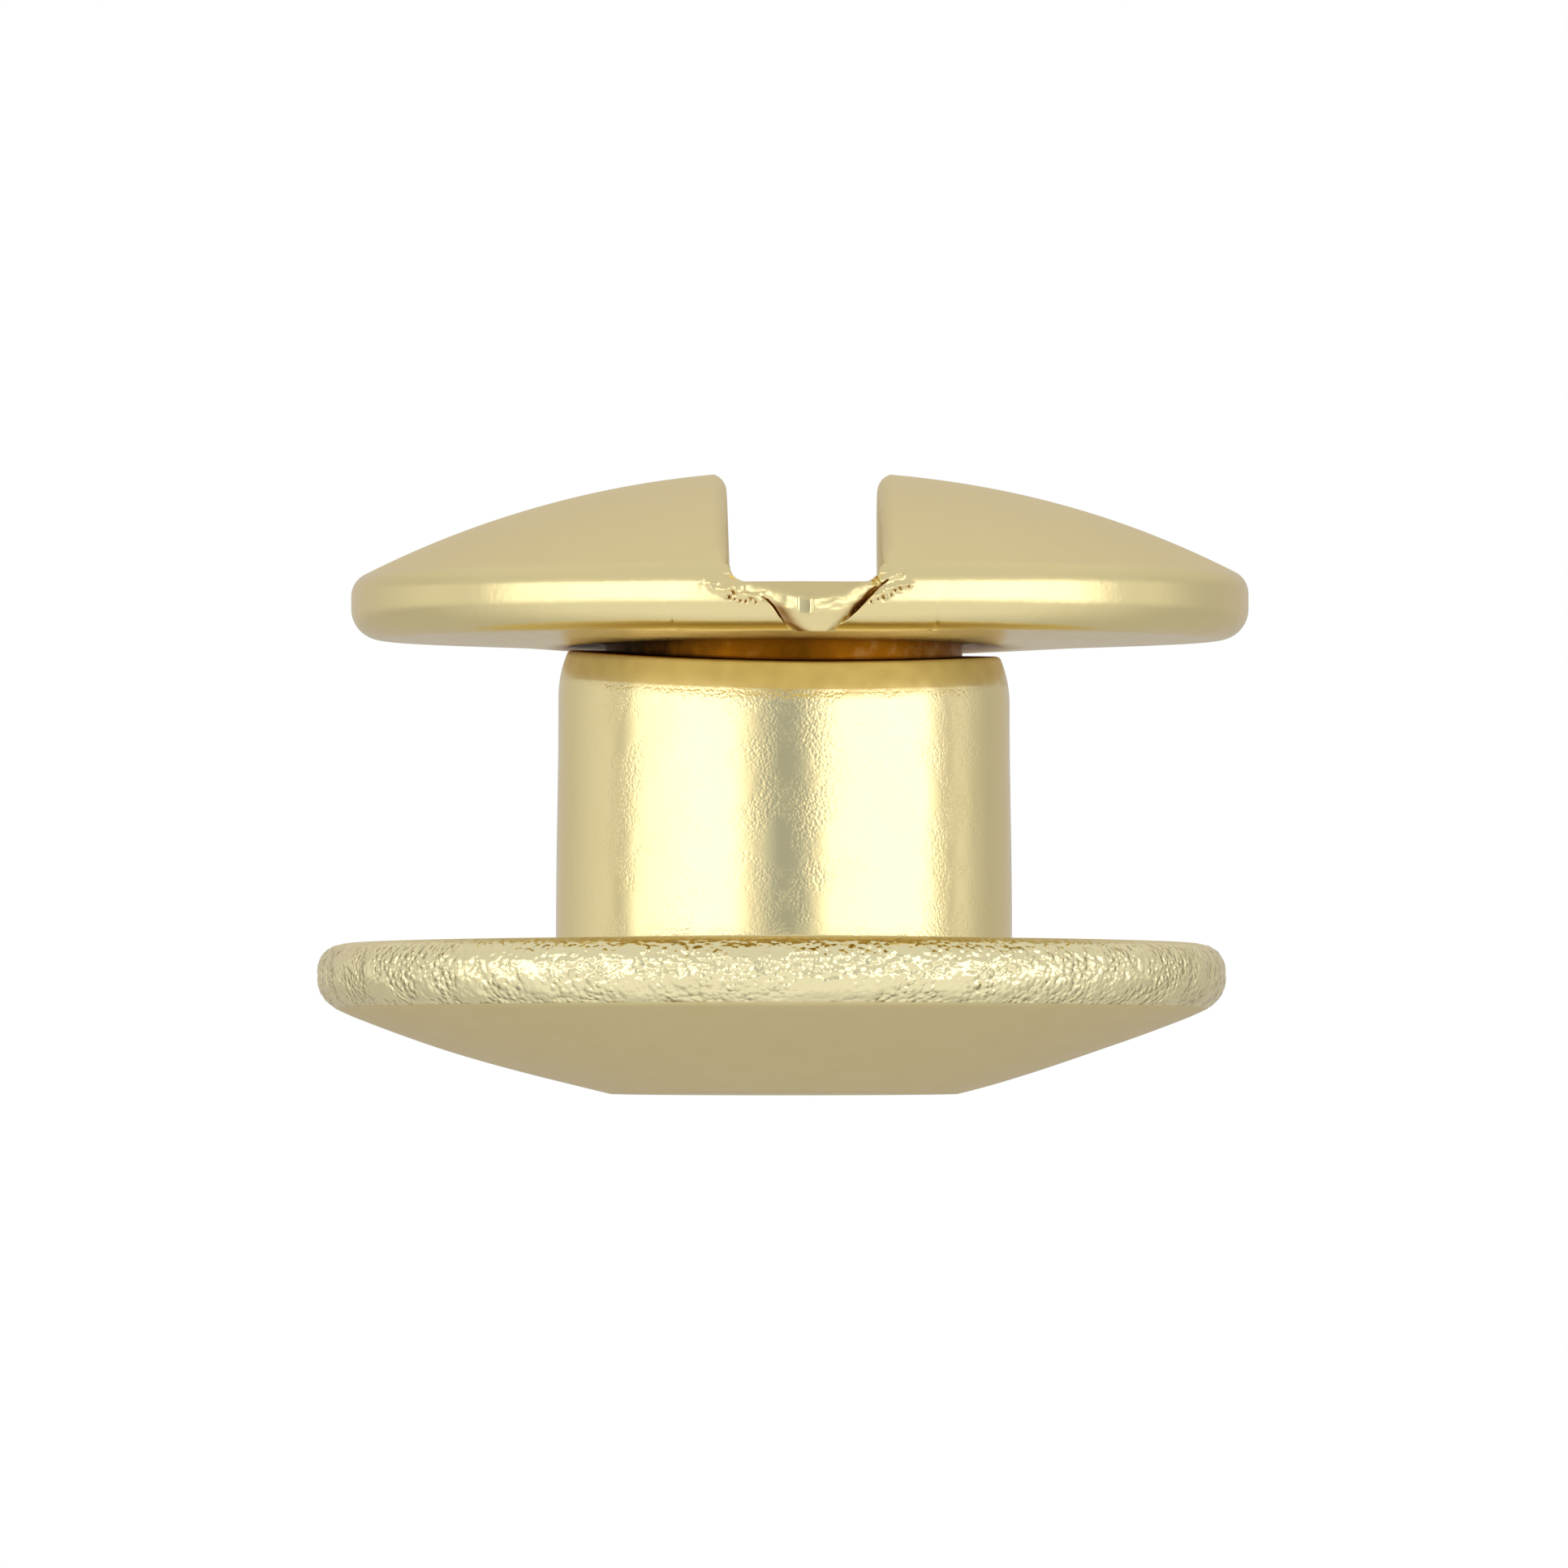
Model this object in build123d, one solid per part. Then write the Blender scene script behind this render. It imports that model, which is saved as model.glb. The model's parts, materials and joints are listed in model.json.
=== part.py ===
from build123d import *
from math import acos, radians, sqrt, tan
import os

# A binding barrel screw: a tapped barrel on a domed head, and a slotted screw turned into it.
# Sizes are in millimetres and degrees. The origin is on the barrel's axis, on the small flat
# that the part stands on, with +Z up. The driver slot runs along Y.

# Both heads are made to one diameter, and came out a little over and under it
HEAD_DIAMETER = 10.0
NUT_HEAD_EXCESS = 0.02
SCREW_HEAD_DEFICIT = 0.04

# Head of the barrel nut, dome down. The rim's height is from the seat face to the dome's edge.
NUT_RIM_HEIGHT = 0.607
NUT_DOME_RADIUS = 11.0
FOOT_RADIUS = 1.92
NUT_DOME_CORNER = 0.36
NUT_SEAT_CORNER = 0.29
NUT_HEAD_OFFSET = -0.14

# Barrel. Its length is from the seat face to the middle of its end, which is cut a little
# out of square and dips towards the front. Its wall is measured at the bore's wider mouth.
BARREL_WALL = 0.47
BARREL_LENGTH = 3.22
BARREL_END_CORNER = 0.27
BARREL_BASE_FILLET = 0.06
END_TILT = 0.85
END_DIP = 0.22
END_DIP_START = 0.6

# Thread, drawn plain at its pitch diameter on both parts
THREAD_DIAMETER = 4.0
THREAD_PITCH = 0.7
THREAD_CLEARANCE = 0.03

# Bore, blind with a shallow conical floor, and opened at its mouth for the screw's neck
BORE_DEPTH = 3.4
BORE_FLOOR_CONE = 0.3
MOUTH_CLEARANCE = 0.06

# Screw. The rim's height is from the underside's edge, above the dish, to the dome's edge.
SCREW_RIM_HEIGHT = 0.648
SCREW_DOME_RADIUS = 10.6
SCREW_DOME_CORNER = 0.26
SCREW_SEAT_CORNER = 0.31
SCREW_HEAD_OFFSET = 0.175
SCREW_SEAT_DISH = 0.09
SEAT_CLEARANCE = 0.015
NECK_UNDERCUT = 0.03
NECK_LENGTH = 0.27
TIP_CLEARANCE = 0.252
SHANK_TIP_CHAMFER = 0.3

# Driver slot, right across the head
SLOT_WIDTH = 1.66
SLOT_WEB = 0.54
SLOT_FLOOR_CORNER = 0.12
SLOT_EDGE_RADIUS = 0.2

# Lip of metal that the slotting pushed out over the rim at the slot's front end
LIP_WIDTH = 1.5
LIP_FLANK_ANGLE = 43
LIP_NOSE_RADIUS = 0.4
LIP_SHIFT = 0.17
LIP_PROUD = 0.035
LIP_SAG = 0.07
LIP_ROOT = 0.4
LIP_BROW_RADIUS = 0.16
CREASE_WIDTH = 0.04
CREASE_DEPTH = 0.12

# How far a cutting tool runs past what it cuts, and how near an edge lies to the size it is found by
OVERRUN = 1.0
EDGE_TOLERANCE = 0.01

# Heights and radii that follow from the sizes above
NUT_HEAD_RADIUS = HEAD_DIAMETER / 2 + NUT_HEAD_EXCESS
SCREW_HEAD_RADIUS = HEAD_DIAMETER / 2 - SCREW_HEAD_DEFICIT
NUT_DOME_RISE = sqrt(NUT_DOME_RADIUS**2 - FOOT_RADIUS**2) - sqrt(NUT_DOME_RADIUS**2 - NUT_HEAD_RADIUS**2)
NUT_HEAD_HEIGHT = NUT_RIM_HEIGHT + NUT_DOME_RISE
SCREW_DOME_RISE = SCREW_DOME_RADIUS - sqrt(SCREW_DOME_RADIUS**2 - SCREW_HEAD_RADIUS**2)
SCREW_HEAD_HEIGHT = SCREW_SEAT_DISH + SCREW_RIM_HEIGHT + SCREW_DOME_RISE
PITCH_RADIUS = THREAD_DIAMETER / 2 - THREAD_PITCH * 3 * sqrt(3) / 16
SHANK_RADIUS = PITCH_RADIUS - THREAD_CLEARANCE / 2
BORE_RADIUS = PITCH_RADIUS + THREAD_CLEARANCE / 2
NECK_RADIUS = THREAD_DIAMETER / 2 - NECK_UNDERCUT
MOUTH_RADIUS = NECK_RADIUS + MOUTH_CLEARANCE
BARREL_RADIUS = MOUTH_RADIUS + BARREL_WALL
END_Z = NUT_HEAD_HEIGHT + BARREL_LENGTH
END_HIGH_Z = END_Z + BARREL_RADIUS * tan(radians(END_TILT))
SCREW_Z = END_HIGH_Z + SEAT_CLEARANCE
BORE_BOTTOM_Z = END_Z - BORE_DEPTH
TIP_Z = BORE_BOTTOM_Z + TIP_CLEARANCE
SLOT_FLOOR_Z = SCREW_Z + SLOT_WEB
SLOT_X = SCREW_HEAD_OFFSET


def ring_turned(outline):
    """Turns a closed outline in the XZ plane once round Z."""
    return revolve(Plane.XZ * make_face(outline), Axis.Z)


def domed_head(radius, height, dome_radius, crown_radius, dome_corner, seat_corner, seat_from, dish):
    """A head that sits on Z = 0, dome up. Its seat is flat out to seat_from and then rises by dish.

    The dome's corner comes first, and the seat's corner takes at most what that leaves of the rim.
    """
    dome_centre = height - sqrt(dome_radius**2 - crown_radius**2)

    def on_dome(r):
        return (r, dome_centre + sqrt(dome_radius**2 - r**2))

    dome = ThreePointArc(on_dome(crown_radius), on_dome((crown_radius + radius) / 2), on_dome(radius))
    seat = Polyline((0, 0), (seat_from, 0), (radius, dish))
    outline = seat + Line((radius, dish), on_dome(radius)) + dome + Line((0, height), (0, 0))
    if crown_radius > 0:
        outline += Line((0, height), on_dome(crown_radius))
    section = make_face(outline)
    rim_height = on_dome(radius)[1] - dish
    dome_corner_height = dome_corner * tan(acos(radius / dome_radius) / 2)
    seat_corner = min(seat_corner, rim_height - dome_corner_height - EDGE_TOLERANCE)
    section = fillet(section.vertices().sort_by_distance(on_dome(radius))[0], dome_corner)
    section = fillet(section.vertices().sort_by_distance((radius, dish))[0], seat_corner)
    return revolve(Plane.XZ * section, Axis.Z)


def end_trim():
    """What the crooked cut takes off the barrel's end: flat at the back, dipping to the front."""
    reach = END_DIP_START + BARREL_RADIUS
    sweep_radius = (reach**2 + END_DIP**2) / (2 * END_DIP)
    far = reach + OVERRUN
    half_way = far / 2

    def dipped(y_from_start):
        return sweep_radius - sqrt(sweep_radius**2 - y_from_start**2)

    back = BARREL_RADIUS + OVERRUN
    surface = Line((back, 0), (END_DIP_START, 0)) + ThreePointArc(
        (END_DIP_START, 0),
        (END_DIP_START - half_way, -dipped(half_way)),
        (END_DIP_START - far, -dipped(far)),
    )
    top = BARREL_LENGTH
    over = Polyline((END_DIP_START - far, -dipped(far)), (END_DIP_START - far, top), (back, top), (back, 0))
    slab = extrude(Plane.YZ * make_face(surface + over), BARREL_RADIUS + OVERRUN, both=True)
    return Pos(0, 0, END_Z) * Rot(0, END_TILT, 0) * slab


def barrel_bore():
    """The tapped hole, from its conical floor to the wider mouth that clears the screw's neck."""
    mouth_step = MOUTH_RADIUS - BORE_RADIUS
    mouth_bottom = SCREW_Z - NECK_LENGTH - MOUTH_CLEARANCE
    top = END_HIGH_Z + OVERRUN
    outline = Polyline(
        (0, BORE_BOTTOM_Z - BORE_FLOOR_CONE),
        (BORE_RADIUS, BORE_BOTTOM_Z),
        (BORE_RADIUS, mouth_bottom - mouth_step),
        (MOUTH_RADIUS, mouth_bottom),
        (MOUTH_RADIUS, top),
        (0, top),
        close=True,
    )
    return ring_turned(outline)


def barrel_nut():
    """The lower piece: a barrel trimmed and rounded at its end, on a head that is a little off its axis."""
    head = domed_head(
        NUT_HEAD_RADIUS,
        NUT_HEAD_HEIGHT,
        NUT_DOME_RADIUS,
        FOOT_RADIUS,
        NUT_DOME_CORNER,
        NUT_SEAT_CORNER,
        BARREL_RADIUS,
        0,
    )
    head = Pos(NUT_HEAD_OFFSET, 0, NUT_HEAD_HEIGHT) * Rot(180, 0, 0) * head
    root = NUT_HEAD_HEIGHT / 2
    post = Pos(0, 0, root) * Cylinder(
        BARREL_RADIUS, END_Z + OVERRUN - root, align=(Align.CENTER, Align.CENTER, Align.MIN)
    )
    post -= end_trim()
    end_edges = post.edges().filter_by(lambda e: e.center().Z > root + BARREL_LENGTH / 2)
    end_edges = end_edges.filter_by(lambda e: e.geom_type != GeomType.LINE)
    post = fillet(end_edges, BARREL_END_CORNER)
    nut = head + post
    base = nut.edges().filter_by(GeomType.CIRCLE).filter_by_position(
        Axis.Z, NUT_HEAD_HEIGHT - EDGE_TOLERANCE, NUT_HEAD_HEIGHT + EDGE_TOLERANCE
    )
    base = base.filter_by(lambda e: abs(e.radius - BARREL_RADIUS) < EDGE_TOLERANCE)
    nut = fillet(base, BARREL_BASE_FILLET)
    return nut - barrel_bore()


def screw_shank():
    """The neck and the shank under the head, on the barrel's axis."""
    neck_step = NECK_RADIUS - SHANK_RADIUS
    inside_head = SCREW_Z + SLOT_WEB / 2
    outline = Polyline(
        (0, TIP_Z),
        (SHANK_RADIUS - SHANK_TIP_CHAMFER, TIP_Z),
        (SHANK_RADIUS, TIP_Z + SHANK_TIP_CHAMFER),
        (SHANK_RADIUS, SCREW_Z - NECK_LENGTH - neck_step),
        (NECK_RADIUS, SCREW_Z - NECK_LENGTH),
        (NECK_RADIUS, inside_head),
        (0, inside_head),
        close=True,
    )
    return ring_turned(outline)


def slot_cutter():
    """The driver slot with rounded floor corners, as long as the head is wide."""
    depth = SCREW_HEAD_HEIGHT
    profile = Pos(0, depth / 2) * Rectangle(SLOT_WIDTH, depth)
    profile = fillet(profile.vertices().group_by(Axis.Y)[0], SLOT_FLOOR_CORNER)
    length = SCREW_HEAD_RADIUS + OVERRUN
    return Pos(SLOT_X, 0, SLOT_FLOOR_Z) * extrude(Plane.XZ * profile, length, both=True)


def lip_outline(grow):
    """The lip seen from the front: a V with a round nose, hung from the slot's floor and grown all round."""
    half = LIP_WIDTH / 2
    vee = make_face(Polyline((-half, 0), (half, 0), (0, -half * tan(radians(LIP_FLANK_ANGLE))), close=True))
    vee = fillet(vee.vertices().sort_by(Axis.Y)[0], LIP_NOSE_RADIUS)
    if grow > 0:
        vee = offset(vee, grow, kind=Kind.INTERSECTION)
    return Pos(SLOT_X + LIP_SHIFT, 0, SLOT_FLOOR_Z) * (Plane.XZ * vee)


def screw_blank(swell, sag):
    """The screw's head before it is slotted, or a copy of it that is wider by swell and lower by sag."""
    blank = domed_head(
        SCREW_HEAD_RADIUS + swell,
        SCREW_HEAD_HEIGHT,
        SCREW_DOME_RADIUS,
        0,
        SCREW_DOME_CORNER,
        SCREW_SEAT_CORNER,
        NECK_RADIUS,
        SCREW_SEAT_DISH,
    )
    return Pos(SCREW_HEAD_OFFSET, 0, SCREW_Z - sag) * blank


def slot_lip():
    """The tongue of metal folded out of the slot's end, which turns down and wraps the rim."""
    root = SCREW_HEAD_RADIUS - LIP_ROOT
    tongue = Pos(0, -root, 0) * extrude(lip_outline(0), LIP_ROOT + LIP_PROUD + OVERRUN)
    tongue &= screw_blank(LIP_PROUD, LIP_SAG)
    front = tongue.edges().filter_by(GeomType.CIRCLE).sort_by(Axis.Z)[-1]
    return fillet(front, LIP_BROW_RADIUS)


def lip_crease():
    """The crack that runs down both sides of the lip, where it tore away from the rim."""
    bottom = SCREW_HEAD_RADIUS - CREASE_DEPTH
    return Pos(0, -bottom, 0) * extrude(lip_outline(CREASE_WIDTH), CREASE_DEPTH + LIP_PROUD + OVERRUN)


def slotted_head():
    """The screw's head with its slot, the rolled edges of the slot and the lip at its front end."""
    head = screw_blank(0, 0) - slot_cutter()
    wall_tops = head.edges().filter_by(
        lambda e: e.geom_type == GeomType.CIRCLE and abs(e.radius - SCREW_DOME_RADIUS) < SLOT_WIDTH
    )
    wall_tops = wall_tops.filter_by(lambda e: e.length > SCREW_HEAD_RADIUS)
    head = fillet(wall_tops, SLOT_EDGE_RADIUS)
    return head - lip_crease() + slot_lip()


def slotted_screw():
    """The upper piece: slotted head, neck and shank in one."""
    return slotted_head() + screw_shank()


os.makedirs("parts", exist_ok=True)
export_step(barrel_nut(), "parts/barrel_nut.step")
export_step(slotted_screw(), "parts/slotted_screw.step")
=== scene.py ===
# %% [markdown]
# A binding barrel screw, close up. The real object is two small turned and headed pieces of
# plated brass: a barrel nut with a low domed head, which stands on its dome, and a slotted screw
# that is turned into the barrel from above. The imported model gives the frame, so this lesson
# starts by loading it and keeping its box, and everything is then built in the same place.

import json
from math import asin, atan2, ceil, cos, degrees, exp, hypot, pi, radians, sin, sqrt, tan

import bmesh
import bpy
from mathutils import Matrix, Vector, noise


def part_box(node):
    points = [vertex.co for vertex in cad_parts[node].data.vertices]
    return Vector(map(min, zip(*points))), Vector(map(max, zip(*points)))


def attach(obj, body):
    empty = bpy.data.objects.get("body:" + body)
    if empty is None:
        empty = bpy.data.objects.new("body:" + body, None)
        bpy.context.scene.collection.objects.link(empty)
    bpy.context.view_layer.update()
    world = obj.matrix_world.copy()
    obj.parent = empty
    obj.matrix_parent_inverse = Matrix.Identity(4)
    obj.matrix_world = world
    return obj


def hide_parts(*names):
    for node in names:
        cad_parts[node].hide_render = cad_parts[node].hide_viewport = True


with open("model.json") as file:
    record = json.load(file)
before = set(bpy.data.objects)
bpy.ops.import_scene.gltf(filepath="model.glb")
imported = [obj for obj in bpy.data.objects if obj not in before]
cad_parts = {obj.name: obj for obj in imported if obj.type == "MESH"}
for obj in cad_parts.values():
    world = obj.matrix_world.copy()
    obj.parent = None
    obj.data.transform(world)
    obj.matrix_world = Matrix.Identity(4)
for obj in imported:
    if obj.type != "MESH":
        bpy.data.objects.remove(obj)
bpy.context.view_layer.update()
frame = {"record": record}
MM = 0.001
nut_low, nut_high = (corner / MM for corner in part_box("barrel_nut"))
screw_low, screw_high = (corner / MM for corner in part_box("slotted_screw"))
mounts = {m["name"]: m for m in frame["record"]["mounts"]}
print("nut box in mm", [round(v, 3) for v in (*nut_low, *nut_high)])
print("screw box in mm", [round(v, 3) for v in (*screw_low, *screw_high)])

# %% [markdown]
# The two heads and the barrel are measured on the frame, in millimetres. Both heads came out of
# the heading tool a little off the barrel's axis, so each has its own centre. What the boxes
# don't show, such as corner radii, is written here once, with the value the solids have.

# %% Sizes in millimetres
NUT_RADIUS = (nut_high.y - nut_low.y) / 2
NUT_X = (nut_high.x + nut_low.x) / 2
BARREL_RADIUS = mounts["barrel_post"]["dims"]["r_mm"]
CLAMP_Z = 1.6505
BARREL_END_Z = 4.8705
END_TILT = 0.85
END_DIP = 0.175
END_DIP_START = 0.6
SCREW_RADIUS = (screw_high.x - screw_low.x) / 2
SCREW_X = (screw_high.x + screw_low.x) / 2
SEAT_Z = 4.9226
THREAD_PITCH = 0.7
NECK_RADIUS = 1.97
MOUTH_RADIUS = 2.03
print(f"nut head r {NUT_RADIUS:.3f} at x {NUT_X:.3f}")
print(f"screw head r {SCREW_RADIUS:.3f} at x {SCREW_X:.3f}")

# %% [markdown]
# A product photograph like this one is taken from far away with a long lens, so the two heads
# look almost edge-on. The camera stands level with the foot and a little in front, on the side
# where the slot opens, and looks slightly up at the middle of the part.

# %% Camera
CAMERA_DISTANCE = 0.156
CAMERA_Z = -0.00124
AIM_Z = 0.003423
FRAME_WIDTH = 0.017312
SENSOR = 36.0


def put(name, data, place=(0, 0, 0)):
    """A new object for a mesh, lamp or camera, linked into the scene."""
    thing = bpy.data.objects.new(name, data)
    thing.location = place
    bpy.context.scene.collection.objects.link(thing)
    return thing


def aim(thing, target):
    """Turns a camera or a lamp to look at a point."""
    thing.rotation_euler = (Vector(target) - thing.location).to_track_quat("-Z", "Y").to_euler()


camera_data = bpy.data.cameras.new("camera")
camera_data.sensor_width = SENSOR
camera_data.lens = SENSOR * CAMERA_DISTANCE / FRAME_WIDTH
camera_data.clip_start = 0.01
camera_data.clip_end = 10
camera = put("camera", camera_data, (0, -CAMERA_DISTANCE, CAMERA_Z))
aim(camera, (0, 0, AIM_Z))
bpy.context.scene.camera = camera
bpy.context.scene.view_settings.view_transform = "Standard"
print(f"lens {camera_data.lens:.1f} mm")

# %% [markdown]
# The studio and the metals are node trees, so a few helpers come first. They add a node with its
# values, do one step of arithmetic, make a colour ramp, and go from one value to another.

# %% Node helpers
def feed(tree, socket, value):
    """Sets an input to a value, or links it to the output that makes the value."""
    if isinstance(value, bpy.types.NodeSocket):
        tree.links.new(value, socket)
    elif value is not None:
        socket.default_value = value


def add_node(tree, kind, **values):
    """Adds a node. A value named like a socket feeds it, and any other is set on the node."""
    node = tree.nodes.new(kind)
    for name, value in values.items():
        if name in node.inputs:
            feed(tree, node.inputs[name], value)
        else:
            setattr(node, name, value)
    return node


def math_node(tree, operation, first, second=None):
    """A Math node. Each input is a number or an output socket."""
    node = add_node(tree, "ShaderNodeMath", operation=operation)
    for socket, value in zip(node.inputs, (first, second)):
        feed(tree, socket, value)
    return node.outputs[0]


def ramp_node(tree, factor, stops, mode="LINEAR"):
    """A colour ramp. Each stop is a place from 0 to 1 and a colour or a grey."""
    node = add_node(tree, "ShaderNodeValToRGB", Fac=factor)
    node.color_ramp.interpolation = mode
    elements = node.color_ramp.elements
    while len(elements) > 1:
        elements.remove(elements[-1])
    for index, (place, colour) in enumerate(stops):
        element = elements[0] if index == 0 else elements.new(place)
        element.position = place
        grey = isinstance(colour, (int, float))
        element.color = (colour, colour, colour, 1) if grey else (*colour, 1)
    return node.outputs["Color"]


def blend(tree, factor, first, second, kind="RGBA"):
    """Goes from first to second with the factor. Each is a socket, a colour or a number."""
    node = add_node(tree, "ShaderNodeMix", data_type=kind, clamp_factor=True)
    start = 6 if kind == "RGBA" else 2
    for place, value in ((0, factor), (start, first), (start + 1, second)):
        feed(tree, node.inputs[place], value)
    return node.outputs[2 if kind == "RGBA" else 0]


def show_mix(tree, output, factor, first, second):
    """Ends a node tree with a mix of two shaders."""
    mix = add_node(tree, "ShaderNodeMixShader")
    for socket, value in zip(mix.inputs, (factor, first.outputs[0], second.outputs[0])):
        feed(tree, socket, value)
    add_node(tree, output, Surface=mix.outputs[0])


print("helpers:", [f.__name__ for f in (feed, add_node, math_node, ramp_node, blend, show_mix)])

# %% [markdown]
# Polished metal has hardly any colour of its own to show: what is seen on it is the studio. A
# barrel is a perfect probe for that, because each line down it mirrors one direction. Here a
# bright soft panel stands on each side of the camera, with the darker camera between them, and
# the room behind is about half as bright. So the world is made by direction: one ramp goes round
# the horizon, another goes from floor to ceiling, and a third says how far up the panels reach.

# %% The studio's light, as degrees and levels
BRIGHTEST = 2.6
CAMERA_DARK = (0.46, 0.50, 0.58)
CAMERA_EDGE = (0.66, 0.70, 0.78)
HORIZON = (
    (-180, 0.60), (-140, 0.64), (-111, 0.82), (-100, 0.86), (-92, 0.68), (-86, 0.95), (-79, 1.6),
    (-45, 2.1), (-26, 2.0), (-20, 1.4), (-15, 0.98), (-8, CAMERA_EDGE), (-3, CAMERA_DARK),
    (5, CAMERA_DARK), (11, CAMERA_EDGE), (17, 1.1), (23, 1.9), (45, 2.1), (76, 2.1), (83, 1.25),
    (92, 0.70), (101, 0.92), (114, 0.66), (127, 0.56), (180, 0.60),
)
FRONT_TENT = ((-90, 0.82), (-60, 0.95), (-25, 0.93), (-12, 0.88), (8, 0.80), (40, 0.74), (90, 0.74))
REAR_TENT = (
    (-90, 0.76), (-64, 0.62), (-54, 0.58), (-20, 0.55), (-4, 0.53), (3, 0.60), (20, 0.64),
    (50, 0.77), (90, 0.75),
)
PANEL_REACH = ((-90, 0), (-12, 0), (0, 1), (8, 1), (19, 0), (90, 0))


def level_stops(stops, start, span):
    """Ramp stops from places in degrees and levels, each a share of the brightest level."""
    made = []
    for place, level in stops:
        shares = level if isinstance(level, tuple) else (level, level, level)
        made.append(((place - start) / span, tuple(share / BRIGHTEST for share in shares)))
    return made


print("studio with", len(HORIZON), "stops round the horizon")

# %% [markdown]
# A world has no place, only a direction for each ray. Its compass angle and its climb are worked
# out from it, and each becomes the factor of a ramp. What the camera sees straight is plain
# white, so that the part stands on a clean page while the metal still mirrors the studio.

# %% The studio as a world
world = bpy.data.worlds.new("studio")
bpy.context.scene.world = world
world.use_nodes = True
sky = world.node_tree
sky.nodes.clear()
ray = add_node(sky, "ShaderNodeTexCoord").outputs["Generated"]
across, depth, height = add_node(sky, "ShaderNodeSeparateXYZ", Vector=ray).outputs
toward_camera = math_node(sky, "MULTIPLY", depth, -1.0)
turn = math_node(sky, "ARCTAN2", across, toward_camera)
turn_share = math_node(sky, "ADD", math_node(sky, "DIVIDE", turn, 2 * pi), 0.5)
climb = math_node(sky, "ARCSINE", height)
climb_share = math_node(sky, "ADD", math_node(sky, "DIVIDE", climb, pi), 0.5)
front_share = math_node(sky, "ADD", math_node(sky, "MULTIPLY", toward_camera, 0.5), 0.5)
front_share = ramp_node(sky, front_share, ((0.25, 0), (0.75, 1)), "EASE")
horizon = ramp_node(sky, turn_share, level_stops(HORIZON, -180, 360))
front_tent = ramp_node(sky, climb_share, level_stops(FRONT_TENT, -90, 180))
rear_tent = ramp_node(sky, climb_share, level_stops(REAR_TENT, -90, 180))
reach_stops = [((place + 90) / 180, share) for place, share in PANEL_REACH]
reach = ramp_node(sky, climb_share, reach_stops, "EASE")
tent = blend(sky, front_share, rear_tent, front_tent)
light = blend(sky, reach, tent, horizon)
studio = add_node(sky, "ShaderNodeBackground", Color=light, Strength=BRIGHTEST)
white = add_node(sky, "ShaderNodeBackground", Color=(1, 1, 1, 1), Strength=1.0)
camera_ray = add_node(sky, "ShaderNodeLightPath").outputs["Is Camera Ray"]
show_mix(sky, "ShaderNodeOutputWorld", camera_ray, studio, white)
print("world of", len(sky.nodes), "nodes")

# %% [markdown]
# The part stands on a pale floor. The camera is a hair below the floor's level, as it was in the
# photograph, where the object is cut out on white. So the floor is made clear from underneath,
# and takes a soft shadow from above. The metal doesn't mirror it: what is mirrored from below is
# in the studio's world, which is bright in front of the part and duller behind it.

# %% Floor
FLOOR_SIZE = 0.4
FLOOR_GREY = 0.86

floor_mesh = bpy.data.meshes.new("floor")
bm = bmesh.new()
bmesh.ops.create_grid(bm, x_segments=1, y_segments=1, size=FLOOR_SIZE / 2)
bm.to_mesh(floor_mesh)
bm.free()
floor = put("floor", floor_mesh)
paper = bpy.data.materials.new("floor_paper")
paper.use_nodes = True
tree = paper.node_tree
tree.nodes.clear()
matt = add_node(tree, "ShaderNodeBsdfDiffuse", Color=(FLOOR_GREY, FLOOR_GREY, FLOOR_GREY, 1))
clear = add_node(tree, "ShaderNodeBsdfTransparent")
from_below = add_node(tree, "ShaderNodeNewGeometry").outputs["Backfacing"]
show_mix(tree, "ShaderNodeOutputMaterial", from_below, matt, clear)
floor_mesh.materials.append(paper)
floor.visible_glossy = False
print("floor of", FLOOR_SIZE, "m")

# %% [markdown]
# The lamp overhead only lights the floor, so that its shadow reads from above. It is kept out of
# the metal, because the real part shows no lamp, only panels.

# %% Lamp for the floor
LAMP_SIZE = 0.15
LAMP_WATTS = 0.12
LAMP_PLACE = (-0.03, 0.02, 0.2)

lamp_data = bpy.data.lights.new("overhead", "AREA")
lamp_data.shape = "DISK"
lamp_data.size = LAMP_SIZE
lamp_data.energy = LAMP_WATTS
lamp = put("overhead", lamp_data, LAMP_PLACE)
aim(lamp, (0, 0, 0))
lamp.visible_glossy = False
print("overhead lamp", lamp_data.energy, "W")

# %% [markdown]
# The metal is one brass plating on both pieces. Its pattern is made of noises with so many
# features to the millimetre, through a Mapping node that scales Object coordinates. Two attributes
# painted on the meshes steer it: finish blends from the first surface to the second, so that one
# skin can carry both, and the other browns the plating in folds and in the gap, partly as the
# patina of old oil and partly as painted shade in these hollows.

# %% Grain, patina and painted light
PLATE = (0.870, 0.740, 0.405, 1)
PLATE_DEEP = (0.835, 0.700, 0.345, 1)
# painted light: the nut's rim plating is paler, a painted reflection of the bright floor below it
PALE_RIM_SHEEN = (0.950, 0.860, 0.530, 1)
PALE_RIM_SHEEN_DEEP = (0.890, 0.790, 0.450, 1)
# brown for patina, and for painted shade in the cracks, pits, flanks and the neck
PATINA_AND_SHADE = (0.270, 0.098, 0.004, 1)
# black for dark oil and painted shade, past 1 on the attribute
OIL_AND_SHADE_BLACK = (0.012, 0.008, 0.004, 1)
EDGE_TINT = (1.0, 0.93, 0.84, 1)


def millimetre_coords(tree):
    """Object coordinates in millimetres."""
    place = add_node(tree, "ShaderNodeTexCoord").outputs["Object"]
    scale = (1 / MM, 1 / MM, 1 / MM)
    return add_node(tree, "ShaderNodeMapping", Vector=place, Scale=scale).outputs["Vector"]


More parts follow.
